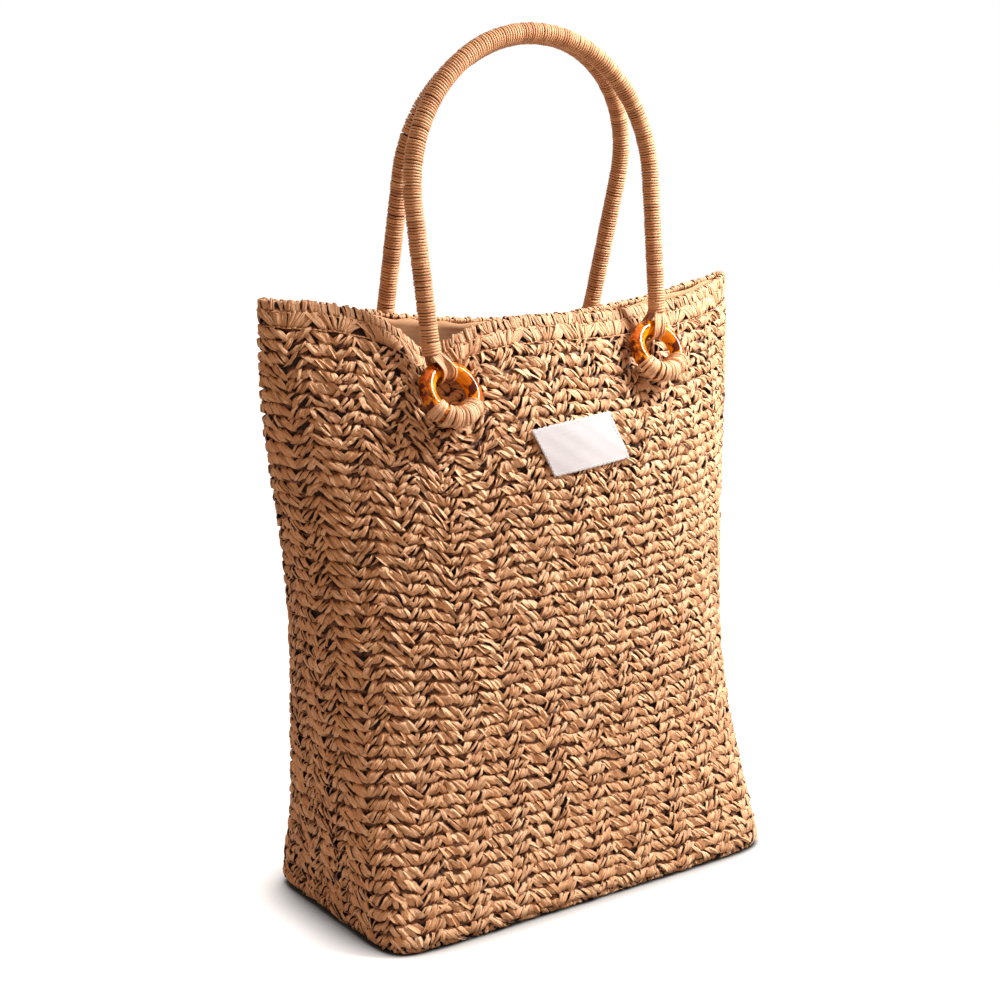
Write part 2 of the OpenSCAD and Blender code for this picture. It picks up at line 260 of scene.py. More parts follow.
class Skin:
    """The bag's outer skin as a fine grid, read by distances along it.

    Coordinates on the skin are: round, a share of the way round from the left corner along
    the front; climb, metres up the wall from the start of the base's turned edge, negative
    under the base; and lift, metres out from the skin.
    """

    ROUND_STEPS = 720
    UNDER = 72 * MM
    STEP = 3 * MM

    def __init__(self, form: BagForm) -> None:
        """Measures the skin of a form."""
        self.form = form
        self.turn = form.edge_radius * math.pi / 2
        self.rim_climb = form.height - form.edge_radius + self.turn
        count = int(round((self.UNDER + self.rim_climb) / self.STEP)) + 1
        self.climbs = np.linspace(-self.UNDER, self.rim_climb, count)
        self.points = np.stack([self._row(c) for c in self.climbs])
        gaps = np.linalg.norm(np.roll(self.points, -1, axis=1) - self.points, axis=2)
        self.girths = gaps.sum(axis=1)
        self.normals = self._normals()

    def _row(self, climb: float) -> Array:
        """One row of points at equal distances round the bag."""
        share, inset = self._share_inset(climb)
        place = np.linspace(0, 4, 2 * self.ROUND_STEPS + 1)[:-1]
        p, q = self._square(place)
        loop = self.form.point(p, q, np.full_like(p, share), np.full_like(p, inset))
        closed = np.vstack([loop, loop[:1]])
        run = run_along(closed)
        want = np.linspace(0, run[-1], self.ROUND_STEPS + 1)[:-1]
        return np.stack([np.interp(want, run, closed[:, k]) for k in range(3)], axis=1)

    def _share_inset(self, climb: float) -> tuple[float, float]:
        """Height share and inset at a climb, round the turned edge of the base."""
        radius = self.form.edge_radius
        if climb <= 0:
            return 0.0, radius - climb
        if climb < self.turn:
            angle = climb / radius
            rise, inset = radius * (1 - math.cos(angle)), radius * (1 - math.sin(angle))
            return rise / self.form.height, inset
        return (radius + climb - self.turn) / self.form.height, 0.0

    @staticmethod
    def _square(place: Array) -> tuple[Array, Array]:
        """Places round a unit square, from the left middle along the front."""
        corners = [0, 0.5, 1.5, 2.5, 3.5, 4]
        p = np.interp(place, corners, [-1, -1, 1, 1, -1, -1])
        q = np.interp(place, corners, [0, -1, -1, 1, 1, 0])
        return p, q

    def _normals(self) -> Array:
        """Outward normals of the grid."""
        along = np.roll(self.points, -1, axis=1) - np.roll(self.points, 1, axis=1)
        up = np.gradient(self.points, axis=0)
        return unit(np.cross(along, up))

    def girth(self, climb: Array | float) -> Array | float:
        """Distance round the bag at one climb, or at each of many."""
        return np.interp(climb, self.climbs, self.girths)

    def at(self, round_share: Array, climb: Array, lift: Array) -> Array:
        """Points at skin coordinates: shares of the way round, climbs and lifts."""
        base, normal = self.frame(round_share, climb)
        return base + normal * lift[..., None]

    def frame(self, round_share: Array, climb: Array) -> tuple[Array, Array]:
        """Points on the skin and their outward normals."""
        u = (round_share % 1.0) * self.ROUND_STEPS
        u0 = np.floor(u).astype(int)
        fu = (u - u0)[..., None]
        u0 %= self.ROUND_STEPS
        u1 = (u0 + 1) % self.ROUND_STEPS
        v = np.interp(climb, self.climbs, np.arange(len(self.climbs)))
        v0 = np.minimum(v.astype(int), len(self.climbs) - 2)
        fv = (v - v0)[..., None]
        out = []
        for grid in (self.points, self.normals):
            low = grid[v0, u0] * (1 - fu) + grid[v0, u1] * fu
            high = grid[v0 + 1, u0] * (1 - fu) + grid[v0 + 1, u1] * fu
            out.append(low * (1 - fv) + high * fv)
        return out[0], unit(out[1])

    def nearest_round(self, x: float, face: Face, climb: float) -> float:
        """The share of the way round at which a face has a given x, at one climb."""
        shares = np.linspace(0, 0.5, 2001) if face is Face.FRONT else np.linspace(0.5, 1, 2001)
        points, _ = self.frame(shares, np.full_like(shares, climb))
        return float(shares[np.argmin(np.abs(points[:, 0] - x))])

    def climb_at(self, x: float, z: float, face: Face) -> float:
        """The climb at which a face has a given x and z."""
        climbs = np.linspace(self.turn, self.rim_climb, 300)
        shares = np.array([self.nearest_round(x, face, climb) for climb in climbs])
        points, _ = self.frame(shares, climbs)
        return float(climbs[np.argmin(np.abs(points[:, 2] - z))])


# ---------------------------------------------------------------- meshes


def grid(columns: int, rows: int) -> tuple[BMesh, Array]:
    """A flat grid, and its vertices' places from 0 to 1 each way."""
    bm = bmesh.new()
    bmesh.ops.create_grid(bm, x_segments=columns, y_segments=rows, size=0.5)
    return bm, places_of(bm) + 0.5


def tube(sides: int, spans: int, caps: bool = True, folded: bool = False) -> BMesh:
    """Makes a tube of radius 1 from z = 0 to z = 1.

    Args:
        sides: Corners of its section.
        spans: Number of its parts from end to end.
        caps: Whether its ends are closed.
        folded: Whether its lengthwise edges are sharp.

    Returns:
        The tube.
    """
    bm = bmesh.new()
    bmesh.ops.create_cone(bm, cap_ends=caps, segments=sides, radius1=1, radius2=1, depth=1)
    bmesh.ops.translate(bm, verts=bm.verts, vec=(0, 0, 0.5))
    long_edges = [e for e in bm.edges if abs(e.verts[0].co.z - e.verts[1].co.z) > 0.5]
    for edge in long_edges:
        edge.smooth = not folded
    bmesh.ops.subdivide_edges(bm, edges=long_edges, cuts=spans - 1, use_grid_fill=True)
    return bm


def repeat(bm: BMesh, count: int) -> None:
    """Copies the one shape that a mesh holds until it holds count of them, in order."""
    per = (len(bm.verts), len(bm.edges), len(bm.faces))
    made = 1
    while made < count:
        more = min(made, count - made)
        geometry = []
        for sequence, size in zip((bm.verts, bm.edges, bm.faces), per):
            sequence.ensure_lookup_table()
            geometry += sequence[: more * size]
        bmesh.ops.duplicate(bm, geom=geometry)
        made += more


def places_of(bm: BMesh) -> Array:
    """Places of a mesh's vertices."""
    return np.array([v.co for v in bm.verts])


def settle(name: str, bm: BMesh, places: Array, weld: float = 0.0) -> Piece:
    """Moves a mesh's vertices, turns its faces outwards and puts it in the scene.

    Args:
        name: Name of the object.
        bm: The mesh, which is freed.
        places: A place for each vertex.
        weld: Distance within which vertices become one.

    Returns:
        The object, at the origin.
    """
    for vert, place in zip(bm.verts, places):
        vert.co = Vector(place)
    if weld:
        bmesh.ops.remove_doubles(bm, verts=bm.verts, dist=weld)
    bm.normal_update()
    bmesh.ops.recalc_face_normals(bm, faces=bm.faces)
    mesh = bpy.data.meshes.new(name)
    bm.to_mesh(mesh)
    bm.free()
    return as_object(name, mesh)


def as_object(name: str, mesh: bpy.types.Mesh, smooth: bool = True) -> Piece:
    """Puts a mesh in the scene, at the origin."""
    mesh.polygons.foreach_set("use_smooth", [smooth] * len(mesh.polygons))
    obj = bpy.data.objects.new(name, mesh)
    bpy.context.scene.collection.objects.link(obj)
    return obj


def keep_floats(obj: Piece, **values: Array) -> None:
    """Stores numbers on an object's vertices for its material to read."""
    for name, numbers in values.items():
        layer = obj.data.attributes.new(name, "FLOAT", "POINT")
        layer.data.foreach_set("value", np.asarray(numbers, np.float32))


def thicken(obj: Piece, thickness: float, offset: float = -1.0) -> None:
    """Gives a sheet its thickness: inwards with an offset of -1, both ways with 0."""
    solidify = obj.modifiers.new("Thickness", "SOLIDIFY")
    solidify.thickness = thickness
    solidify.offset = offset


def finish_piece(obj: Piece, material: Material, body: str, slot: str, *nodes: str) -> Piece:
    """Args:
        obj: The piece.
        material: What it is made of.
        body: Name of the CAD body that it rides on.
        slot: Material slot in the record. It is not used.
        *nodes: CAD nodes that it replaces.

    Returns:
        The piece.
    """
    dress(obj, material)
    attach(obj, body)
    if nodes:
        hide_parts(*nodes)
    log.info("%s: %d faces", obj.name, len(obj.data.polygons))
    return obj


# ---------------------------------------------------------------- strands and cords


@dataclass(frozen=True)
class Strand:
    """A closed ribbon, built once and laid many times."""

    sides: int = 8
    spans: int = 4
    folded: bool = True

    def creases(self, rng: np.random.Generator, low: float, high: float, count: int) -> Array:
        """Random heights of each strand's corners."""
        return rng.uniform(low, high, (count, self.sides * 2))


ROUND_THREAD = Strand(sides=5, spans=3, folded=False)


@dataclass
class Local:
    """The vertices of a bundle before they are laid: which strand, and where on it."""

    strand: Array
    side: Array
    top: Array
    along: Array
    sides: int

    @property
    def centred(self) -> Array:
        """Place along the strand, from -1 at its start to 1 at its end."""
        return 2 * self.along - 1

    @property
    def corner(self) -> Array:
        """Number of each vertex round its strand's section."""
        turn = np.arctan2(self.top, self.side) / math.tau
        return np.round(turn * self.sides * 2).astype(int) % (self.sides * 2)

    def ribbon(self, creases: Array, boxy: float = 0.65) -> tuple[Array, Array]:
        """Flattens the round section to a ribbon's.

        Args:
            creases: Height of each corner over the ribbon's top, one row for each strand.
            boxy: Power that squares the section, less than 1.

        Returns:
            Shares of half the width and of half the thickness.
        """
        up = signed_power(self.top, boxy)
        raised = np.where(self.top > 0.05, creases[self.strand, self.corner], 0)
        return signed_power(self.side, boxy), up + raised


Layer = Callable[[Local], Array]


class Bundle:
    """Many strands in one mesh, laid by a rule that places every vertex."""

    def __init__(self, name: str, count: int, strand: Strand) -> None:
        """Copies the strand.

        Args:
            name: Name of the piece.
            count: Number of strands.
            strand: The strand to copy.
        """
        bm = tube(strand.sides, strand.spans, folded=strand.folded)
        per = len(bm.verts)
        repeat(bm, count)
        self.mesh = bpy.data.meshes.new(name)
        bm.to_mesh(self.mesh)
        bm.free()
        co = np.empty(len(self.mesh.vertices) * 3)
        self.mesh.vertices.foreach_get("co", co)
        side, top, along = co.reshape(-1, 3).T
        self.local = Local(np.arange(len(side)) // per, side, top, along, strand.sides)

    def lay(self, rule: Layer, tones: Array, lengths: Array | float) -> Piece:
        """Moves every vertex to its place and keeps what the materials read.

        Args:
            rule: Gives a place for every vertex.
            tones: A number from 0 to 1 for each strand.
            lengths: Length of each strand or of them all, in metres.

        Returns:
            The finished object.
        """
        local = self.local
        self.mesh.vertices.foreach_set("co", rule(local).astype(np.float32).ravel())
        bm = bmesh.new()
        bm.from_mesh(self.mesh)
        bmesh.ops.recalc_face_normals(bm, faces=bm.faces)
        bm.to_mesh(self.mesh)
        bm.free()
        obj = as_object(self.mesh.name, self.mesh)
        length = np.broadcast_to(lengths, tones.shape)[local.strand]
        keep_floats(
            obj, tone=tones[local.strand], along=local.along * length,
            side=local.side, end=local.along, top=local.top,
        )
        return obj


class Coil:
    """A cord wound in a helix along Z, built turn by turn."""

    def __init__(self, turns: float, per_turn: int = 14, sides: int = 7) -> None:
        """Makes the cord as one straight tube, a turn at a time, and closes its ends.

        Args:
            turns: Number of turns.
            per_turn: Steps in each turn.
            sides: Corners of the cord's section.
        """
        count = math.ceil(turns)
        self.bm = tube(sides, per_turn, caps=False)
        per = len(self.bm.verts)
        repeat(self.bm, count)
        for i, vert in enumerate(self.bm.verts):
            vert.co.z += i // per
        bmesh.ops.remove_doubles(self.bm, verts=self.bm.verts, dist=0.001)
        ends = [e for e in self.bm.edges if e.is_boundary]
        bmesh.ops.holes_fill(self.bm, edges=ends, sides=sides)
        co = places_of(self.bm)
        self.turn = co[:, 2] * turns / count
        self.side = co[:, 1]
        self.top = co[:, 0]

    def wound(self, pitch: float, radius: Array | float, cord: float) -> Array:
        """Winds the cord.

        Args:
            pitch: Rise of each turn.
            radius: Distance of the cord's middle from the axis, one for all or for each vertex.
            cord: Radius of the cord.

        Returns:
            Places of the vertices on the coil, which starts at z = 0.
        """
        angle = self.turn * math.tau
        reach = radius + self.top * cord
        rise = self.turn * pitch + self.side * cord
        return np.stack([reach * np.cos(angle), reach * np.sin(angle), rise], axis=1)

    def finish(self, name: str, placed: Array, tones: Array, radius: float) -> Piece:
        """Places the coil and keeps what its material reads.

        Args:
            name: Name of the piece.
            placed: Places of its vertices.
            tones: Number from 0 to 1 for each turn.
            radius: Radius of the coil.

        Returns:
            The object.
        """
        obj = settle(name, self.bm, placed)
        keep_floats(
            obj, tone=np.interp(self.turn, np.arange(len(tones)), tones),
            along=self.turn * math.tau * radius, side=self.side,
            end=np.full(len(self.turn), 0.5), top=self.top,
        )
        return obj


class Bends:
    """Paths in one plane that flat strands follow."""

    def __init__(self, keys: Sequence[Sequence[Sequence[float]]], steps: int) -> None:
        """Smooths the key points of each strand's path and reads it at many steps."""
        self.paths = np.array([path_through(stops, steps) for stops in keys])
        self.ways = unit(np.gradient(self.paths, axis=1))

    def at(self, local: Local, lift: Array) -> Array:
        """Places in the plane, at a lift to the left of the path."""
        last = self.paths.shape[1] - 1
        step = np.clip(np.round(local.along * last).astype(int), 0, last)
        way = self.ways[local.strand, step]
        aside = np.stack([-way[:, 1], way[:, 0]], axis=1)
        return self.paths[local.strand, step] + aside * lift[:, None]


# ---------------------------------------------------------------- materials


class Graph:
    """Adds nodes to one tree and joins them."""

    def __init__(self, tree: NodeTree) -> None:
        """Keeps the tree."""
        self.tree = tree

    def add(self, kind: str, **settings: object) -> Node:
        """Adds a node of one type, with values of its own properties."""
        node = self.tree.nodes.new(kind)
        for name, value in settings.items():
            setattr(node, name, value)
        return node

    def join(self, source: Socket, target: Socket) -> None:
        """Links two sockets."""
        self.tree.links.new(source, target)

    def feed(self, target: Socket, value: object) -> None:
        """Links a socket or sets its value, whichever the value is."""
        if isinstance(value, Socket):
            self.join(value, target)
        else:
            target.default_value = value

    def attribute(self, name: str) -> Socket:
        """A number stored on the mesh."""
        return self.add("ShaderNodeAttribute", attribute_name=name).outputs["Fac"]

    def position(self) -> Socket:
        """The place on the object, in metres."""
        return self.add("ShaderNodeTexCoord").outputs["Object"]

    def vector(self, x: object, y: object, z: object) -> Socket:
        """Joins three numbers to a vector."""
        node = self.add("ShaderNodeCombineXYZ")
        for socket, value in zip(node.inputs, (x, y, z)):
            self.feed(socket, value)
        return node.outputs[0]

    def math(self, operation: str, a: object, b: object = 0.0, clamp: bool = False) -> Socket:
        """A sum on two numbers."""
        node = self.add("ShaderNodeMath", operation=operation, use_clamp=clamp)
        self.feed(node.inputs[0], a)
        self.feed(node.inputs[1], b)
        return node.outputs[0]

    def times(self, a: object, b: object) -> Socket:
        """The product of two numbers."""
        return self.math("MULTIPLY", a, b)

    def noise(
        self, vector: object, scale: float, detail: float = 3.0, rough: float = 0.55
    ) -> Socket:
        """Soft noise from 0 to 1."""
        node = self.add("ShaderNodeTexNoise")
        self.feed(node.inputs["Vector"], vector)
        node.inputs["Scale"].default_value = scale
        node.inputs["Detail"].default_value = detail
        node.inputs["Roughness"].default_value = rough
        return node.outputs["Fac"]

    def stretch(
        self, value: object, low: float, high: float, to_low: float = 0.0, to_high: float = 1.0
    ) -> Socket:
        """Maps a range of numbers to another one and clamps it."""
        node = self.add("ShaderNodeMapRange")
        for socket, number in zip(node.inputs, (value, low, high, to_low, to_high)):
            self.feed(socket, number)
        return node.outputs["Result"]

    def ramp(self, value: object, stops: Sequence[tuple[float, Colour]]) -> Socket:
        """A colour from a number."""
        node = self.add("ShaderNodeValToRGB")
        elements = node.color_ramp.elements
        while len(elements) < len(stops):
            elements.new(0.5)
        for element, (place, colour) in zip(elements, stops):
            element.position = place
            element.color = (*colour, 1.0)
        self.feed(node.inputs["Fac"], value)
        return node.outputs["Color"]

    def blend(self, share: object, a: object, b: object) -> Socket:
        """Mixes two colours."""
        node = self.add("ShaderNodeMix", data_type="RGBA")
        self.feed(node.inputs["Factor"], share)
        for socket, colour in zip(node.inputs[6:8], (a, b)):
            plain = isinstance(colour, tuple)
            self.feed(socket, (*colour, 1.0) if plain else colour)
        return node.outputs[2]

    def bump(self, shader: Node, height: Socket, distance: float, strength: float = 1.0) -> None:
        """Roughens a shader by a height."""
        node = self.add("ShaderNodeBump")
        node.inputs["Strength"].default_value = strength
        node.inputs["Distance"].default_value = distance
        self.join(height, node.inputs["Height"])
        self.join(node.outputs["Normal"], shader.inputs["Normal"])


def srgb(red: int, green: int, blue: int) -> Colour:
    """A colour from its screen values, 0 to 255, as the linear numbers that shaders use."""
    def linear(value: int) -> float:
        share = value / 255
        return share / 12.92 if share <= 0.04045 else ((share + 0.055) / 1.055) ** 2.4

    return linear(red), linear(green), linear(blue)


class Effects:
    """The shader groups that several finishes share."""

    def __init__(self) -> None:
        """Builds each group once."""
        self.fibre = self._fibre()
        self.weave = self._weave()

    @staticmethod
    def _group(
        name: str, inputs: Sequence[str], outputs: Sequence[str]
    ) -> tuple[Graph, Node, Node]:
        """Starts a group: its graph, and the nodes that hold its inputs and its outputs."""
        tree = bpy.data.node_groups.new(name, "ShaderNodeTree")
        for sockets, way in ((inputs, "INPUT"), (outputs, "OUTPUT")):
            for socket in sockets:
                tree.interface.new_socket(socket, in_out=way, socket_type="NodeSocketFloat")
        graph = Graph(tree)
        return graph, graph.add("NodeGroupInput"), graph.add("NodeGroupOutput")

    def _fibre(self) -> NodeTree:
        """Fine creases and fibres that run along a strand."""
        graph, source, result = self._group(
            "Fibre", ("Along", "Side", "Tone"), ("Fleck", "Height", "Crease")
        )
        seed = graph.times(source.outputs["Tone"], 37.0)

        def grain(along: float, side: float, shift: float, **look: float) -> Socket:
            """Noise drawn out along the strand."""
            place = graph.vector(
                graph.times(source.outputs["Along"], along),
                graph.times(source.outputs["Side"], side),
                graph.math("ADD", seed, shift),
            )
            return graph.noise(place, 1.0, **look)

        folds = grain(90.0, 3.0, 0.0, detail=2.0)
        fibres = grain(260.0, 11.0, 0.0, detail=3.0, rough=0.65)
        bends = grain(150.0, 1.7, 9.0, detail=1.0)
        ridge = graph.math("ABSOLUTE", graph.math("SUBTRACT", bends, 0.5))
        crease = graph.stretch(ridge, 0.0, 0.035, 1.0, 0.0)
        height = graph.math("ADD", folds, graph.times(fibres, 0.45))
        height = graph.math("SUBTRACT", height, graph.times(crease, 0.35))
        for socket, value in zip(result.inputs, (fibres, height, crease)):
            graph.join(value, socket)
        return graph.tree

    def _weave(self) -> NodeTree:
        """The crossing threads of plain cloth."""
        graph, source, result = self._group(
            "Cloth weave", ("Across", "Up", "Thread"), ("Height", "Gap")
        )
        waves = []
        for name in ("Across", "Up"):
            turns = graph.math("DIVIDE", source.outputs[name], source.outputs["Thread"])
            waves.append(graph.math("ABSOLUTE", graph.math("SINE", graph.times(turns, math.pi))))
        height = graph.times(*waves)
        graph.join(height, result.inputs["Height"])
        # Painted shade: 1 where the threads dip, for darkening between them.
        graph.join(graph.stretch(height, 0.0, 0.25, 1.0, 0.0), result.inputs["Gap"])
        return graph.tree


def new_material(name: str) -> tuple[Material, Graph, Node]:
    """Starts a material with one Principled shader, and gives its graph and that shader."""
    material = bpy.data.materials.new(name)
    material.use_nodes = True
    graph = Graph(material.node_tree)
    return material, graph, material.node_tree.nodes["Principled BSDF"]


def dress(obj: Piece, material: Material) -> None:
    """Gives an object one material."""
    obj.data.materials.clear()
    obj.data.materials.append(material)


@dataclass(frozen=True)
class StrawFinish:
    """Folded paper ribbon: matte, streaked along its length, with painted shade at its tucked
    ends, along its sides, underneath and in its creases.
    """

    name: str
    light: Colour
    middle: Colour
    deep: Colour
    # Painted shade: the first colour below darkens each strand's tucked ends, sides and underside,
    # the second its creases; under sets how strong the shade underneath is.
    gap: Colour = srgb(34, 14, 5)
    fold: Colour = srgb(150, 92, 52)
    under: float = 1.0
    roughness: float = 0.6
    relief: float = 0.45 * MM

    def material(self, effects: Effects) -> Material:
        """Builds the material with the shared shader groups."""
        material, graph, shader = new_material(self.name)
        fibre = graph.add("ShaderNodeGroup", node_tree=effects.fibre)
        side, tone = graph.attribute("side"), graph.attribute("tone")
        for socket, value in zip(fibre.inputs, (graph.attribute("along"), side, tone)):
            graph.join(value, socket)
        fleck = graph.stretch(fibre.outputs["Fleck"], 0.3, 0.75, -0.16, 0.16)
        shade = graph.math("ADD", graph.stretch(tone, 0, 1, 0.12, 0.88), fleck, clamp=True)
        colour = graph.ramp(shade, [(0.0, self.deep), (0.45, self.middle), (1.0, self.light)])
        # Painted shade in the creases.
        colour = graph.blend(graph.times(fibre.outputs["Crease"], 0.6), colour, self.fold)
        # Painted shade at each strand's tucked ends, along its sides and underneath, blended in
        # below.
        end = graph.math("ABSOLUTE", graph.math("SUBTRACT", graph.attribute("end"), 0.5))
        sunk = graph.stretch(end, 0.38, 0.5)
        edge = graph.stretch(graph.math("ABSOLUTE", side), 0.74, 1.0, 0.0, 0.9)
        under = graph.stretch(graph.attribute("top"), -0.2, 0.38, self.under, 0.0)
        painted_shade = graph.math("MAXIMUM", graph.math("MAXIMUM", sunk, edge), under)
        graph.join(graph.blend(painted_shade, colour, self.gap), shader.inputs["Base Color"])
        graph.bump(shader, fibre.outputs["Height"], self.relief, 0.9)
        shader.inputs["Roughness"].default_value = self.roughness
        return material


@dataclass(frozen=True)
class BackingFinish:
    """Plain rough stuff behind the straw, seen through its gaps; behind the weave it is a dark
    sheet of painted shade, under the handle cord it is the core.
    """

    name: str
    shade: Colour
    light: Colour

    def material(self) -> Material:
        """Builds the material."""
        material, graph, shader = new_material(self.name)
        grain = graph.noise(graph.position(), 420.0, detail=4.0)
        colour = graph.blend(graph.stretch(grain, 0.35, 0.8), self.shade, self.light)
        graph.join(colour, shader.inputs["Base Color"])
        graph.bump(shader, grain, 1.0 * MM)
        shader.inputs["Roughness"].default_value = 0.85
        return material


@dataclass(frozen=True)
class ClothFinish:
    """Plain woven cloth, with painted shade between its threads."""

    name: str
    light: Colour
    deep: Colour
    thread: float
    relief: float

    def material(self, effects: Effects) -> Material:
        """Builds the material with the shared shader groups."""
        material, graph, shader = new_material(self.name)
        across, up = graph.attribute("across"), graph.attribute("up")
        weave = graph.add("ShaderNodeGroup", node_tree=effects.weave)
        for socket, value in zip(weave.inputs, (across, up, self.thread)):
            graph.feed(socket, value)
        drawn = graph.vector(graph.times(across, 60.0), graph.times(up, 900.0), 0.0)
        slub = graph.noise(drawn, 1.0)
        cloud = graph.noise(graph.position(), 18.0, detail=2.0)
        shade = graph.math("ADD", graph.times(slub, 0.5), graph.times(cloud, 0.5))
        worn = graph.blend(graph.stretch(shade, 0.35, 0.7), self.deep, self.light)
        # Painted shade between the threads: the colour darkens towards the deep tone where the
        # threads dip.
        gap = graph.times(weave.outputs["Gap"], 0.35)
        graph.join(graph.blend(gap, worn, self.deep), shader.inputs["Base Color"])
        graph.bump(shader, weave.outputs["Height"], self.relief, 0.6)
        shader.inputs["Roughness"].default_value = 0.85
        return material


@dataclass(frozen=True)
class TortoiseshellFinish:
    """Polished amber resin with dark drifts, and a painted glow on its inner edge, as if light
    came through the resin.
    """

    name: str
    amber: Colour
    gold: Colour
    dark: Colour

    def material(self, centre: Array) -> Material:
        """Builds the material for a ring, whose middle its pattern starts from."""
        material, graph, shader = new_material(self.name)
        shift = graph.add("ShaderNodeMapping")
        shift.inputs["Location"].default_value = tuple(-c for c in centre)
        graph.join(graph.position(), shift.inputs["Vector"])
        place = shift.outputs["Vector"]
        drift = graph.noise(place, 105.0, detail=4.0, rough=0.6)
        cloud = graph.noise(place, 190.0, detail=3.0)
        # Painted light: the inner side of the tube turns gold and has fewer dark drifts, as if lit
        # through the resin.
        rim = graph.stretch(graph.attribute("inner"), 0.15, 0.95)
        body = graph.blend(graph.stretch(cloud, 0.42, 0.62), self.amber, self.gold)
        body = graph.blend(rim, body, self.gold)
        patch = graph.stretch(graph.math("SUBTRACT", drift, graph.times(rim, 0.07)), 0.47, 0.54)
        graph.join(graph.blend(patch, body, self.dark), shader.inputs["Base Color"])
        shader.inputs["Roughness"].default_value = 0.1
        shader.inputs["Specular IOR Level"].default_value = 0.13
        return material


class Finishes:
    """Every material of the bag."""

    RESIN = TortoiseshellFinish(
        "Tortoiseshell resin", amber=srgb(186, 80, 0), gold=srgb(244, 150, 0), dark=srgb(88, 30, 0)
    )

    def __init__(self) -> None:
        """Builds the materials that more than one piece uses."""
        effects = Effects()
        # Each straw finish paints shade on its strands' tucked ends, sides, undersides and
        # creases; on the rim and the cord that painted shade is lighter.
        self.body = StrawFinish(
            "Woven straw", srgb(248, 207, 166), srgb(226, 175, 129), srgb(190, 134, 88)
        ).material(effects)
        self.shaded = StrawFinish(
            "Shaded straw", srgb(130, 80, 44), srgb(98, 56, 28), srgb(70, 36, 15)
        ).material(effects)
        self.rim = StrawFinish(
            "Rim straw", srgb(244, 202, 161), srgb(222, 171, 126), srgb(190, 134, 90),
            gap=srgb(84, 46, 22),
        ).material(effects)
        self.stitch = StrawFinish(
            "Stitch straw", srgb(246, 205, 166), srgb(226, 175, 131), srgb(192, 136, 92),
            under=0.15, relief=0.2 * MM,
        ).material(effects)
        self.cord = StrawFinish(
            "Paper cord", srgb(240, 192, 145), srgb(214, 158, 112), srgb(168, 112, 70),
            gap=srgb(84, 46, 21), relief=0.12 * MM,
        ).material(effects)
        # Painted shade: a near-black sheet behind the weave stands for the shade seen through its
        # gaps.
        self.backing = BackingFinish(
            "Inside of the weave", srgb(28, 12, 5), srgb(66, 34, 16)
        ).material()
        self.core = BackingFinish("Handle core", srgb(84, 50, 28), srgb(126, 82, 50)).material()
        self.lining = ClothFinish(
            "Tan lining cloth", srgb(216, 170, 128), srgb(186, 138, 98), 0.45 * MM, 0.1 * MM
        ).material(effects)
        self.cotton = ClothFinish(
            "Off-white cotton", srgb(200, 198, 201), srgb(188, 186, 190), 0.38 * MM, 0.08 * MM
        ).material(effects)
        self.thread = cotton_thread()


def cotton_thread() -> Material:
    """White sewing thread with a fine twist."""
    material, graph, shader = new_material("Cotton thread")
    twist = graph.noise(graph.position(), 2400.0, detail=2.0)
    colour = graph.blend(twist, srgb(228, 220, 212), srgb(252, 250, 247))
    graph.join(colour, shader.inputs["Base Color"])
    shader.inputs["Roughness"].default_value = 0.8
    return material


# ---------------------------------------------------------------- the woven body


# Columns of the weave: pairs of them round the bag, and the falling one's share of a pair
PERIODS = 26
FALLING_SHARE = 0.55


@dataclass(frozen=True)
class Unevenness:
    """How far the strands of the weave stray, as standard deviations.

    The column is in shares of the distance between strands, run and reach are shares of
    themselves, and roll and twist are slopes.
    """

    column: float = 0.16
    row: float = 0.95 * MM
    run: float = 0.3
    reach: float = 0.1
    roll: float = 0.28
    twist: float = 0.32
    rise: float = 0.3 * MM
    bend: float = 0.45 * MM
    tone: float = 0.24


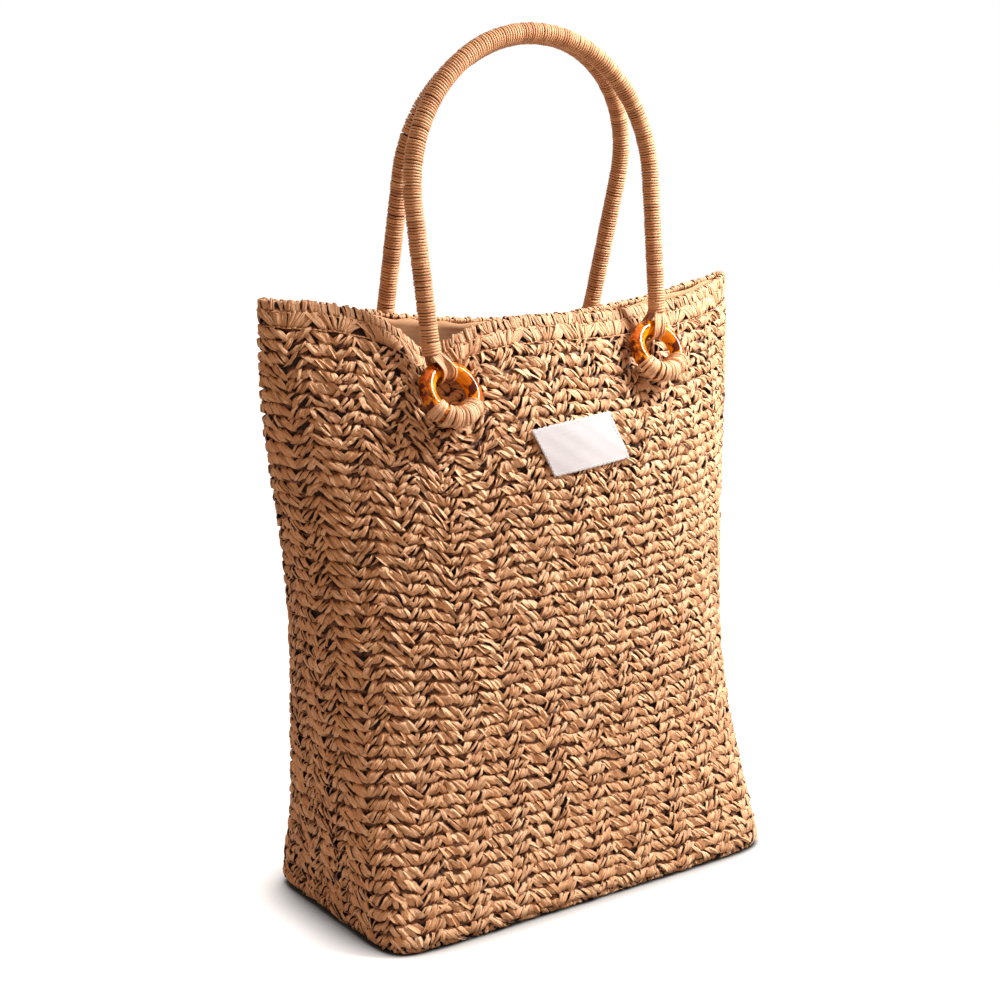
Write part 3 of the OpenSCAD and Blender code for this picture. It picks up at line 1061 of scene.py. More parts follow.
@dataclass
class WovenBody:
    """The weave: rows of short slanting strands, in columns that lean by turns.

    A strand runs aside by its column's run and up by its reach, each way from its middle. Its
    dome, end tuck and bed shape it across the wall, between the highest and the buried level.
    """

    skin: Skin
    finishes: Finishes
    wild_spots: list[Array]
    per_group: int = 6
    row_pitch: float = 7.9 * MM
    row_reach: float = 4.3 * MM
    falling_run: float = 4.1 * MM
    rising_run: float = 3.1 * MM
    thickness: float = 1.8 * MM
    dome: float = 0.9 * MM
    end_tuck: float = 2.5 * MM
    bed: float = 0.6 * MM
    band: float = 16.0 * MM
    lean_drift: float = 8 * MM
    sunk: float = 2.0 * MM
    highest: float = 1.9 * MM
    buried: float = 3.6 * MM
    backing_depth: float = 2.4 * MM
    under_width: float = 5.6 * MM
    ring_disturbance: float = 48 * MM
    uneven: Unevenness = Unevenness()
    seed: int = 11

    PATCHES = 8

    def build(self) -> list[Piece]:
        """Builds the weave in two layers and the dark sheet of painted shade behind it.

        Returns:
            The pieces, the sheet of painted shade first.
        """
        corners = ["left", "front", "right", "rear", "left"]
        pieces = [self._backing()]
        for i in range(self.PATCHES):
            name = f"{corners[i // 2 + i % 2]}_{corners[i // 2 + 1 - i % 2]}"
            start = i / self.PATCHES
            pieces.append(self._patch(f"underweave_{name}", start, Strand(6, 2), self.sunk))
            pieces.append(self._patch(f"weave_{name}", start, Strand(), 0.0))
        return pieces + [self._under()]

    def _rows(self) -> Array:
        """Climbs of the rows, from the base edge to the band of the rim."""
        first = self.skin.turn * 0.3
        last = self.skin.rim_climb - self.band - self.row_pitch / 2
        count = int(round((last - first) / self.row_pitch)) + 1
        return np.linspace(first, last, count)

    def _columns(self, start: float, stop: float) -> tuple[Array, Array]:
        """Round shares of the strands between two shares, and the way each one leans."""
        index = np.arange(PERIODS * self.per_group * 2)
        period, place = np.divmod(index, self.per_group * 2)
        falls = place < self.per_group
        inside = (place % self.per_group + 0.5) / self.per_group
        rising_share = 1 - FALLING_SHARE
        share = np.where(falls, inside * FALLING_SHARE, FALLING_SHARE + inside * rising_share)
        share = (period + share) / PERIODS
        keep = (share >= start) & (share < stop)
        return share[keep], np.where(falls, -1.0, 1.0)[keep]

    def _drift(self, share: Array, climb: Array) -> Array:
        """Lean of the columns towards the slumping ring, as a share of the way round."""
        high = np.clip((climb / self.skin.rim_climb - 0.55) / 0.4, 0, 1)
        middle = np.exp(-(((share - 0.24) / 0.13) ** 2))
        return -self.lean_drift * high**1.5 * middle / self.skin.girth(climb)

    def _wildness(self, share: Array, climb: Array) -> Array:
        """How disturbed the weave is, which is most where the rings are sewn on."""
        points, _ = self.skin.frame(share, climb)
        wild = np.zeros(len(share))
        for spot in self.wild_spots:
            away = np.linalg.norm(points - spot, axis=1)
            wild = np.maximum(wild, np.exp(-((away / self.ring_disturbance) ** 2)))
        return wild

    def _patch(self, name: str, start: float, strand: Strand, sunk: float) -> Piece:
        """Lays one layer of one part of the way round.

        Args:
            name: Name of the piece.
            start: Round share where it starts.
            strand: The strand it is laid with.
            sunk: How far the layer lies behind the outer one. A sunk layer has half as many
                strands, twice as wide, which fill the gaps of the outer one.

        Returns:
            The piece.
        """
        rng = np.random.default_rng([self.seed, int(start * 1000), strand.spans])
        uneven, skin = self.uneven, self.skin
        pitch = 1 / (PERIODS * self.per_group * 2)
        aside = 0.5 if sunk else 0.0
        each = 2 if sunk else 1
        rows = self._rows() + aside * self.row_pitch
        share, slant = (a[::each] for a in self._columns(start, start + 1 / self.PATCHES))
        row_r, row_s = (a.ravel() for a in np.meshgrid(rows, share + aside * pitch, indexing="ij"))
        lean = np.tile(slant, len(rows))
        falls = lean < 0
        count = len(row_r)
        calm = self._wildness(row_s, row_r)
        wild = 1 + 1.2 * calm
        home_s = row_s + rng.normal(0, uneven.column, count) * wild * pitch
        home_s += self._drift(row_s, row_r)
        home_r = row_r + rng.normal(0, uneven.row, count) * wild
        run = np.where(falls, self.falling_run, self.rising_run) * (1 - 0.2 * calm)
        run *= 1 + rng.normal(0, uneven.run, count) * wild
        reach = self.row_reach * (1 - 0.16 * calm) * (1 + rng.normal(0, uneven.reach, count))
        group = np.where(falls, FALLING_SHARE, 1 - FALLING_SHARE) / self.per_group / PERIODS
        width = each * group * skin.girth(home_r) * rng.uniform(0.95, 1.7, count)
        thick = self.thickness * rng.uniform(0.7, 1.3, count)
        roll = rng.normal(0.05, uneven.roll, count)
        twist = rng.normal(0, uneven.twist, count)
        rise = rng.normal(0, uneven.rise, count) - sunk
        bend = rng.normal(0, uneven.bend, count)
        pinch = rng.uniform(0, math.tau, count)
        tone = shades(rng, 0.55, uneven.tone, count)
        creases = strand.creases(rng, -1.0, 0.5, count)

        def place(local: Local) -> Array:
            """Lays each strand across its row, with its ends tucked in."""
            k = local.strand
            across, up = local.ribbon(creases)
            a = local.centred
            taper = 1.08 - 0.45 * a * a + 0.14 * np.sin(pinch[k] + 4 * a)
            b = across * width[k] / 2 * taper
            dr = reach[k] * (0.7 * a + 0.3 * np.sin(a * math.pi / 2)) + across * 0.25 * MM
            ds = lean[k] * run[k] * a + b + bend[k] * (1 - a * a)
            lift = self.dome * np.cos(a * math.pi / 2) - self.end_tuck * a**6 - self.bed
            lift += up * thick[k] / 2 * (1 - 0.4 * a**6) + (roll[k] + twist[k] * a) * b + rise[k]
            # Ends that dive behind the backing stop short of the lining
            buried = np.minimum(lift + self.buried, 0)
            lift = lift - buried + np.expm1(buried / MM) * MM
            share = home_s[k] + ds / skin.girth(home_r[k])
            climb = np.minimum(home_r[k] + dr, skin.rim_climb - 1 * MM)
            laid = skin.at(share, climb, np.minimum(lift, self.highest))
            laid[:, 2] = np.maximum(laid[:, 2], 0)
            return laid

        obj = Bundle(name, count, strand).lay(place, tone, np.hypot(run, reach) * 2)
        material = self.finishes.shaded if sunk else self.finishes.body
        return finish_piece(obj, material, "bag", "woven_straw", "woven_wall")

    def _under(self) -> Piece:
        """Lays flat rows of strands under the base."""
        rng = np.random.default_rng(self.seed + 5)
        home_r, home_s, lean = [], [], []
        for row in np.arange(-5 * MM, -68 * MM, -self.row_pitch):
            count = max(8, int(self.skin.girth(row) / (5.4 * MM)))
            home_s += list((np.arange(count) + 0.5) / count)
            home_r += [row] * count
            lean += list(np.where((np.arange(count) // self.per_group) % 2 == 0, -1.0, 1.0))
        home_s, home_r, lean = (np.array(a, float) for a in (home_s, home_r, lean))
        count = len(home_r)
        run = np.where(lean < 0, self.falling_run, self.rising_run) * rng.uniform(0.8, 1.2, count)
        width = self.under_width * rng.uniform(0.75, 1.1, count)
        tone = shades(rng, 0.45, 0.2, count)
        strand = Strand(spans=3)
        creases = strand.creases(rng, -0.6, 0.2, count)
        skin, reach = self.skin, self.row_reach

        def place(local: Local) -> Array:
            """Lays each strand flat under the base, just clear of the floor."""
            k = local.strand
            across, up = local.ribbon(creases)
            a = local.centred
            climb = np.clip(home_r[k] + a * reach, -70 * MM, -0.5 * MM)
            ds = lean[k] * run[k] * a + across * width[k] / 2
            share = home_s[k] + ds / skin.girth(home_r[k])
            lift = up * 0.5 * MM - 0.9 * MM - 0.8 * MM * np.abs(a) ** 5
            return skin.at(share, climb, lift)

        obj = Bundle("weave_under", count, strand).lay(place, tone, 14 * MM)
        return finish_piece(obj, self.finishes.body, "bag", "woven_straw", "woven_base")

    def _backing(self) -> Piece:
        """The dark shell of painted shade behind the strands, with its own base."""
        bm, co = grid(180, 70)
        under = 60 * MM
        climb = co[:, 1] * (self.skin.rim_climb + under) - under
        places = self.skin.at(co[:, 0], climb, np.full(len(co), -self.backing_depth))
        obj = settle("weave_backing", bm, places, weld=0.05 * MM)
        thicken(obj, 1.2 * MM)
        return finish_piece(
            obj, self.finishes.backing, "bag", "woven_straw", "woven_wall", "woven_base"
        )


# ---------------------------------------------------------------- the rim


@dataclass
class Rim:
    """The stitched edge of the mouth, and the row of fans under it.

    Each stitch climbs the drop outside, crosses the inner depth of the edge and ends a tuck
    below it inside. A fan lies at the meeting of two columns, its half width in pairs of them
    and its spread in degrees.
    """

    skin: Skin
    finishes: Finishes
    pitch: float = 2.0 * MM
    drop: float = 6.6 * MM
    inner: float = 4.2 * MM
    tuck: float = 3.2 * MM
    thread_stitches: int = 260
    fan_strands: int = 15
    fan_half: float = 0.47
    fan_spread: float = 40.0
    seed: int = 23

    def build(self) -> list[Piece]:
        """Builds the rim's pieces."""
        return [self._overcast(), self._fans(), self._thread()]

    def _overcast(self) -> Piece:
        """Stitches that wrap the edge from outside to inside, each with a small loop on top."""
        rng = np.random.default_rng(self.seed)
        girth = self.skin.girth(self.skin.rim_climb)
        count = int(girth / self.pitch)
        home = (np.arange(count) + rng.normal(0, 0.16, count)) / count
        drop = self.drop * rng.uniform(0.9, 1.12, count)
        width = self.pitch * rng.uniform(0.75, 1.5, count)
        proud = rng.uniform(-0.3, 0.6, count) * MM
        crown = rng.uniform(-0.9, 1.25, count) * MM
        lean = rng.normal(0.12, 0.22, count)
        tone = shades(rng, 0.5, 0.2, count)
        strand = Strand(sides=6, spans=9)
        creases = strand.creases(rng, -0.7, 0.3, count)
        skin, depth = self.skin, self.inner
        turn = math.pi * depth / 2

        def place(local: Local) -> Array:
            """Bends each stitch over the edge."""
            k = local.strand
            across, up = local.ribbon(creases, 0.8)
            run = local.along * (drop[k] + turn + self.tuck)
            outside = np.clip(drop[k] - run, 0, None)
            inside = np.clip(run - drop[k] - turn, 0, None)
            angle = np.clip((run - drop[k]) / turn, 0, 1) * math.pi
            ends = np.abs(local.centred)
            thick = up * 0.6 * MM
            sink = np.where(ends > 0.9, (ends - 0.9) * 12 * MM, 0)
            radius = depth / 2 + proud[k] + thick
            lift = np.select(
                [outside > 0, inside > 0],
                [proud[k] + thick - sink, sink - depth - proud[k] - thick],
                np.cos(angle) * radius - depth / 2,
            )
            below = outside + inside
            height = np.where(below > 0, 0, np.sin(angle) * (0.9 * MM + crown[k] + thick))
            share = home[k] + (across * width[k] / 2 + lean[k] * (outside - inside)) / girth
            base, normal = skin.frame(share, skin.rim_climb - below)
            level = unit(normal * np.array([1, 1, 0]))
            laid = base + level * lift[:, None]
            laid[:, 2] += height
            return laid

        obj = Bundle("rim_overcast", count, strand).lay(place, tone, self.drop + turn + self.tuck)
        return finish_piece(obj, self.finishes.rim, "bag", "binding_straw", "rim_binding")

    def _fans(self) -> Piece:
        """Fans of long steep strands, one where two columns of the weave lean together."""
        rng = np.random.default_rng(self.seed + 1)
        per = self.fan_strands
        count = PERIODS * per
        fan, which = np.divmod(np.arange(count), per)
        across_fan = np.linspace(-1, 1, per)[which]
        home = (fan + FALLING_SHARE + across_fan * self.fan_half) / PERIODS
        home = home + rng.normal(0, 0.35 * MM, count) / self.skin.girth(self.skin.rim_climb)
        tilt = np.sin(across_fan * math.pi / 2) * self.fan_spread + rng.normal(0, 8, count)
        slope = np.tan(np.radians(tilt))
        width = (2.1 + 1.1 * np.abs(across_fan)) * MM * rng.uniform(0.8, 1.35, count)
        reach = rng.uniform(5.4, 7.4, count) * MM
        rise = rng.normal(0.05 * MM, 0.35 * MM, count)
        tone = shades(rng, 0.5, 0.2, count)
        middle = self.skin.rim_climb - self.drop - 3.3 * MM
        strand = Strand()
        creases = strand.creases(rng, -0.7, 0.3, count)
        skin = self.skin

        def place(local: Local) -> Array:
            """Lays each long strand under the rim's stitches."""
            k = local.strand
            across, up = local.ribbon(creases)
            a = local.centred
            ds = a * reach[k] * slope[k] + across * width[k] / 2 * (1 - 0.25 * a**4)
            climb = np.minimum(middle + a * reach[k], skin.rim_climb)
            arch = 0.3 * MM * np.cos(a * math.pi / 2) - 1.2 * MM * np.abs(a) ** 5 - 0.2 * MM
            lift = up * 0.75 * MM + arch + rise[k]
            return skin.at(home[k] + ds / skin.girth(climb), climb, lift)

        obj = Bundle("rim_fans", count, strand).lay(place, tone, reach * 2)
        return finish_piece(obj, self.finishes.body, "bag", "woven_straw", "woven_wall")

    def _thread(self) -> Piece:
        """The two thin threads that run round under the stitches and under the fans."""
        rng = np.random.default_rng(self.seed + 2)
        count = 2 * self.thread_stitches
        home = (np.arange(count) // 2) / self.thread_stitches
        under = np.where(np.arange(count) % 2 == 0, self.drop + 0.1 * MM, self.drop + 9.4 * MM)
        climb = self.skin.rim_climb - under + rng.normal(0, 0.22 * MM, count)
        skin = self.skin
        girth = skin.girth(skin.rim_climb)
        length = girth / self.thread_stitches * 1.15
        tone = shades(rng, 0.4, 0.15, count)

        def place(local: Local) -> Array:
            """Lays the thread stitch by stitch."""
            k = local.strand
            a = local.centred
            lift = local.top * 0.35 * MM + 0.5 * MM - 0.9 * MM * a**4
            share = home[k] + a / 2 * length / girth
            return skin.at(share, climb[k] + local.side * 0.45 * MM, lift)

        obj = Bundle("rim_thread", count, ROUND_THREAD).lay(place, tone, length)
        return finish_piece(obj, self.finishes.cord, "bag", "binding_straw")


# ---------------------------------------------------------------- lining and label


@dataclass
class Lining:
    """The cloth inside the bag: two panels sewn in under the rim, and a flat base."""

    skin: Skin
    finishes: Finishes
    clear: float = 5.2 * MM
    sewn_clear: float = 0.3 * MM
    sewn_reach: float = 6 * MM
    slack: float = 1.4 * MM
    rim_gap: float = 1.8 * MM
    foot_rise: float = 5 * MM
    foot_clear: float = 3 * MM
    foot_height: float = 14 * MM
    floor_margin: float = 9 * MM
    floor_height: float = 4.9 * MM

    def build(self) -> list[Piece]:
        """Builds the three cloths."""
        return [
            self._panel("lining_front_cloth", 0.0, "lining_front"),
            self._panel("lining_rear_cloth", 0.5, "lining_rear"),
            self._floor(),
        ]

    def _panel(self, name: str, start: float, node: str) -> Piece:
        """One upright panel, half the way round, slightly slack and sewn in under the rim.

        Args:
            name: Name of the piece.
            start: Round share at its first edge.
            node: The CAD node that it stands for.

        Returns:
            The piece.
        """
        bm, co = grid(120, 96)
        skin = self.skin
        foot, top = skin.turn + self.foot_rise, skin.rim_climb - self.rim_gap
        share = start + co[:, 0] / 2
        climb = foot + co[:, 1] * (top - foot)
        sewn = np.exp(-(((top - climb) / self.sewn_reach) ** 2))
        slack = self.slack * self._waves(share, climb) * (1 - sewn)
        low = np.clip(1 - (climb - skin.turn + skin.form.edge_radius) / self.foot_height, 0, 1)
        inset = self.clear + slack + self.sewn_clear * sewn + low * low * self.foot_clear
        base, normal = skin.frame(share, climb)
        # Near the top the cloth lies level with the rim instead of square to the wall
        near_top = np.exp(-(((top - climb) / (25 * MM)) ** 2))[:, None]
        level = unit(normal * np.array([1, 1, 0]))
        places = base - unit(normal * (1 - near_top) + level * near_top) * inset[:, None]
        ruffle = 0.9 * MM * np.sin(share * 140 + 2 * np.sin(share * 37))
        places[:, 2] += np.exp(-(((top - climb) / (3 * MM)) ** 2)) * ruffle
        width = float(skin.girth(foot)) / 2
        obj = settle(name, bm, places)
        keep_floats(obj, across=(share - start) * 2 * width, up=climb - foot)
        thicken(obj, 0.6 * MM, offset=0)
        finish_piece(obj, self.finishes.lining, "bag", "lining_cloth", node)
        return obj

    @staticmethod
    def _waves(share: Array, climb: Array) -> Array:
        """Soft vertical folds of the loose cloth, from 0 to about 1."""
        folds = np.sin(share * 61 + 1.7 * np.sin(climb * 9)) * 0.5
        folds += np.sin(share * 143 + climb * 21) * 0.25
        return 0.55 + 0.45 * folds

    def _floor(self) -> Piece:
        """The cloth on the bag's base, a rounded rectangle."""
        bm, co = grid(60, 30)
        half_w = self.skin.form.base_width / 2 - self.floor_margin
        half_d = self.skin.form.base_depth / 2 - self.floor_margin
        x, y = (co[:, k] * 2 - 1 for k in (0, 1))
        square = np.maximum(np.abs(x), np.abs(y))
        reach = (np.abs(x) ** 12 + np.abs(y) ** 12) ** (1 / 12)
        scale = square / np.maximum(reach, 1e-9)
        z = self.floor_height + 0.5 * MM * np.sin(x * 7 + y * 3) * np.sin(y * 5)
        places = np.stack([x * scale * half_w, y * scale * half_d, z], axis=1)
        obj = settle("lining_floor_cloth", bm, places)
        keep_floats(obj, across=x * half_w, up=y * half_d)
        thicken(obj, 0.5 * MM, offset=0)
        finish_piece(obj, self.finishes.lining, "bag", "lining_cloth", "lining_base")
        return obj


@dataclass
class Label:
    """A bare cotton label with a frayed edge, sewn on with small stitches."""

    skin: Skin
    finishes: Finishes
    width: float = 63 * MM
    height: float = 33 * MM
    skew: float = 9 * MM
    turn: float = math.radians(6.5)
    rise: float = 5 * MM
    lift: float = 2.35 * MM
    hem: float = 1.6 * MM
    stitch_pitch: float = 2.6 * MM
    stitch_length: float = 1.6 * MM

    def build(self) -> list[Piece]:
        """Builds the cloth and its stitches."""
        low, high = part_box("label")
        centre_x = (low.x + high.x) / 2
        self.climb = self.skin.climb_at(centre_x, (low.z + high.z) / 2, Face.FRONT)
        self.share = self.skin.nearest_round(centre_x, Face.FRONT, self.climb)
        self.girth = self.skin.girth(self.climb)
        cloth = self._cloth()
        stitches = self._stitches()
        return [cloth, stitches]

    def _place(self, across: Array, up: Array, lift: Array) -> Array:
        """Places points by distances across and up the label from its middle."""
        slid = across - up / self.height * self.skew
        share = self.share + (slid * math.cos(self.turn) - up * math.sin(self.turn)) / self.girth
        climb = self.climb + self.rise + up * math.cos(self.turn) + slid * math.sin(self.turn)
        return self.skin.at(share, climb, lift)

    def _cloth(self) -> Piece:
        """The label's cloth, slightly wavy, with an uneven edge."""
        bm, co = grid(64, 40)
        x, y = co[:, 0] - 0.5, co[:, 1] - 0.5
        fray = 0.35 * MM * np.sin(x * 97 + 3 * np.sin(y * 41)) * (np.abs(y) > 0.49)
        sway = 0.35 * MM * np.sin(y * 83 + 2 * np.sin(x * 35)) * (np.abs(x) > 0.49)
        across, up = x * self.width + sway, y * self.height + fray
        buckle = 0.35 * np.sin(x * 9 + 1.0) * np.sin(y * 7 + 0.6) + 0.2 * np.sin(x * 23 + y * 11)
        curl = 0.5 * np.maximum(np.abs(x), np.abs(y)) ** 6 * 8
        lift = self.lift + (buckle * 0.25 + curl * 0.3) * MM
        obj = settle("label_cloth", bm, self._place(across, up, lift))
        keep_floats(obj, across=across, up=up)
        thicken(obj, 0.45 * MM, offset=0)
        return finish_piece(obj, self.finishes.cotton, "bag", "cotton_tape", "label")

    def _stitches(self) -> Piece:
        """Small stitches round the edge."""
        rows = []
        for flat, length, depth in ((1, self.width, self.height), (0, self.height, self.width)):
            run = np.arange(-length / 2 + 2 * MM, length / 2 - 2 * MM, self.stitch_pitch)
            for edge in (depth / 2 - self.hem, self.hem - depth / 2):
                rows += [(x, edge, 1) if flat else (edge, x, 0) for x in run]
        table = np.array(rows)

        def place(local: Local) -> Array:
            """Lays each stitch along its edge."""
            k = local.strand
            flat = table[k, 2] > 0.5
            a = (local.along - 0.5) * self.stitch_length
            b = local.side * 0.22 * MM
            across = table[k, 0] + np.where(flat, a, b)
            up = table[k, 1] + np.where(flat, b, a)
            ends = np.abs(local.centred)
            lift = self.lift + 0.4 * MM + local.top * 0.2 * MM - 0.5 * MM * ends**4
            return self._place(across, up, lift)

        bundle = Bundle("label_stitches", len(table), ROUND_THREAD)
        obj = bundle.lay(place, np.full(len(table), 0.5), self.stitch_length)
        return finish_piece(obj, self.finishes.thread, "bag", "cotton_tape")


# ---------------------------------------------------------------- rings and lashings


@dataclass
class Ring:
    """One ring and the fan of stitches that sews it to the wall."""

    face: Face
    hand: Hand
    skin: Skin
    finishes: Finishes
    mean_radius: float = 16 * MM
    section_radius: float = 5 * MM
    lean: float = math.radians(32)
    stitches: int = 23
    half_fan: float = math.radians(60)
    stitch_width: float = 1.9 * MM
    stitch_clear: float = 0.8 * MM

    def __post_init__(self) -> None:
        """Reads the ring's place from its CAD node."""
        self.corner = f"{self.face.word}_{self.hand.word}"
        self.node = f"{self.corner}_ring"
        low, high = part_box(self.node)
        self.centre = np.array((low + high) / 2)
        side = self.face.value
        self.across = np.array([float(-side), 0.0, 0.0])
        self.up = np.array([0.0, -side * math.sin(self.lean), math.cos(self.lean)])
        self.outward = np.array([0.0, side * math.cos(self.lean), math.sin(self.lean)])

    def place(self, across: Array, up: Array, out: Array) -> Array:
        """Points from distances in the ring's own frame."""
        return (
            self.centre
            + across[..., None] * self.across
            + up[..., None] * self.up
            + out[..., None] * self.outward
        )

    def build(self) -> list[Piece]:
        """Builds the ring and its lashing."""
        return [self._ring(), self._lashing()]

    def _ring(self) -> Piece:
        """The polished ring, spun from its section."""
        bm = bmesh.new()
        bmesh.ops.create_circle(bm, segments=28, radius=self.section_radius)
        bmesh.ops.translate(bm, verts=bm.verts, vec=(self.mean_radius, 0, 0))
        bmesh.ops.spin(
            bm, geom=bm.verts[:] + bm.edges[:], cent=(0, 0, 0), axis=(0, 1, 0),
            angle=math.tau, steps=96, use_merge=True,
        )
        bmesh.ops.remove_doubles(bm, verts=bm.verts, dist=0.01 * MM)
        x, y, z = places_of(bm).T
        obj = settle(f"{self.node}_resin", bm, self.place(x, z, y))
        keep_floats(obj, inner=(self.mean_radius - np.hypot(x, z)) / self.section_radius)
        resin = self.finishes.RESIN.material(self.centre)
        return finish_piece(obj, resin, "bag", "tortoiseshell_resin", self.node)

    def _wall_depth(self, across: Array, up: Array) -> Array:
        """How far behind the ring's plane the wall lies, at places in that plane."""
        depth = np.zeros(len(across))
        for _ in range(6):
            depth += self._standoff(self.place(across, up, -depth)) / math.cos(self.lean) * 0.8
        return depth

    def _standoff(self, points: Array) -> Array:
        """How far points stand off the wall along Y."""
        half = self.skin.ROUND_STEPS // 2
        start = 0 if self.face is Face.FRONT else half
        grid = self.skin.points[:, start : start + half].reshape(-1, 3)
        near = [np.argmin(((grid - point)[:, [0, 2]] ** 2).sum(axis=1)) for point in points]
        return self.face.value * (points[:, 1] - grid[near, 1])

    def _lashing(self) -> Piece:
        """Whipped stitches from the wall below, over the ring and back into the wall."""
        rng = np.random.default_rng(hash_word(self.node))
        count = self.stitches
        angle = np.linspace(-self.half_fan, self.half_fan, count) + rng.normal(0, 0.028, count)
        reach = rng.uniform(-7.5, -5.5, count) * MM
        width = self.stitch_width * rng.uniform(0.8, 1.2, count)
        tone = shades(rng, 0.62, 0.18, count)
        middle, over = self.mean_radius, self.section_radius + self.stitch_clear
        bulge = rng.uniform(-0.3, 0.9, count) * MM
        outer, inner = middle + over, middle - over
        far = outer + reach
        wall_far = self._wall_depth(far * np.sin(angle), -far * np.cos(angle))
        wall_near = self._wall_depth(inner * np.sin(angle), -inner * np.cos(angle))
        strand = Strand(sides=7, spans=16)
        creases = strand.creases(rng, -0.5, 0.2, count)
        # Distance from the ring's middle and out from its plane: up from the wall outside the
        # ring, over it, and back into the wall inside it
        bends = Bends([
            [
                [far[k] - 1.0 * MM, -wall_far[k] - 2.0 * MM],
                [far[k], -wall_far[k] + 0.2 * MM],
                [middle + over * 0.55, -over],
                [outer + 0.3 * MM + bulge[k], -over * 0.2],
                [middle + over * 0.85, over * 0.45],
                [middle, over],
                [middle - over * 0.85, over * 0.5],
                [inner, -over * 0.5],
                [inner - 0.3 * MM, -wall_near[k] * 0.7],
                [inner + 0.3 * MM, -wall_near[k] - 2.0 * MM],
            ]
            for k in range(count)
        ], 60)

        def place(local: Local) -> Array:
            """Bends each stitch round the ring."""
            k = local.strand
            across, up = local.ribbon(creases, 0.85)
            radial, out = bends.at(local, -up * 0.75 * MM).T
            swell = 1 + 0.1 * np.sin(local.along * 9 + k)
            side = across * width[k] / 2 * swell * radial / middle
            return self.place(
                radial * np.sin(angle[k]) + side * np.cos(angle[k]),
                -radial * np.cos(angle[k]) + side * np.sin(angle[k]),
                out,
            )

        obj = Bundle(f"{self.corner}_whipping", count, strand).lay(place, tone, 40 * MM)
        return finish_piece(
            obj, self.finishes.stitch, "bag", "stitch_straw", f"{self.corner}_lashing"
        )


# ---------------------------------------------------------------- handles


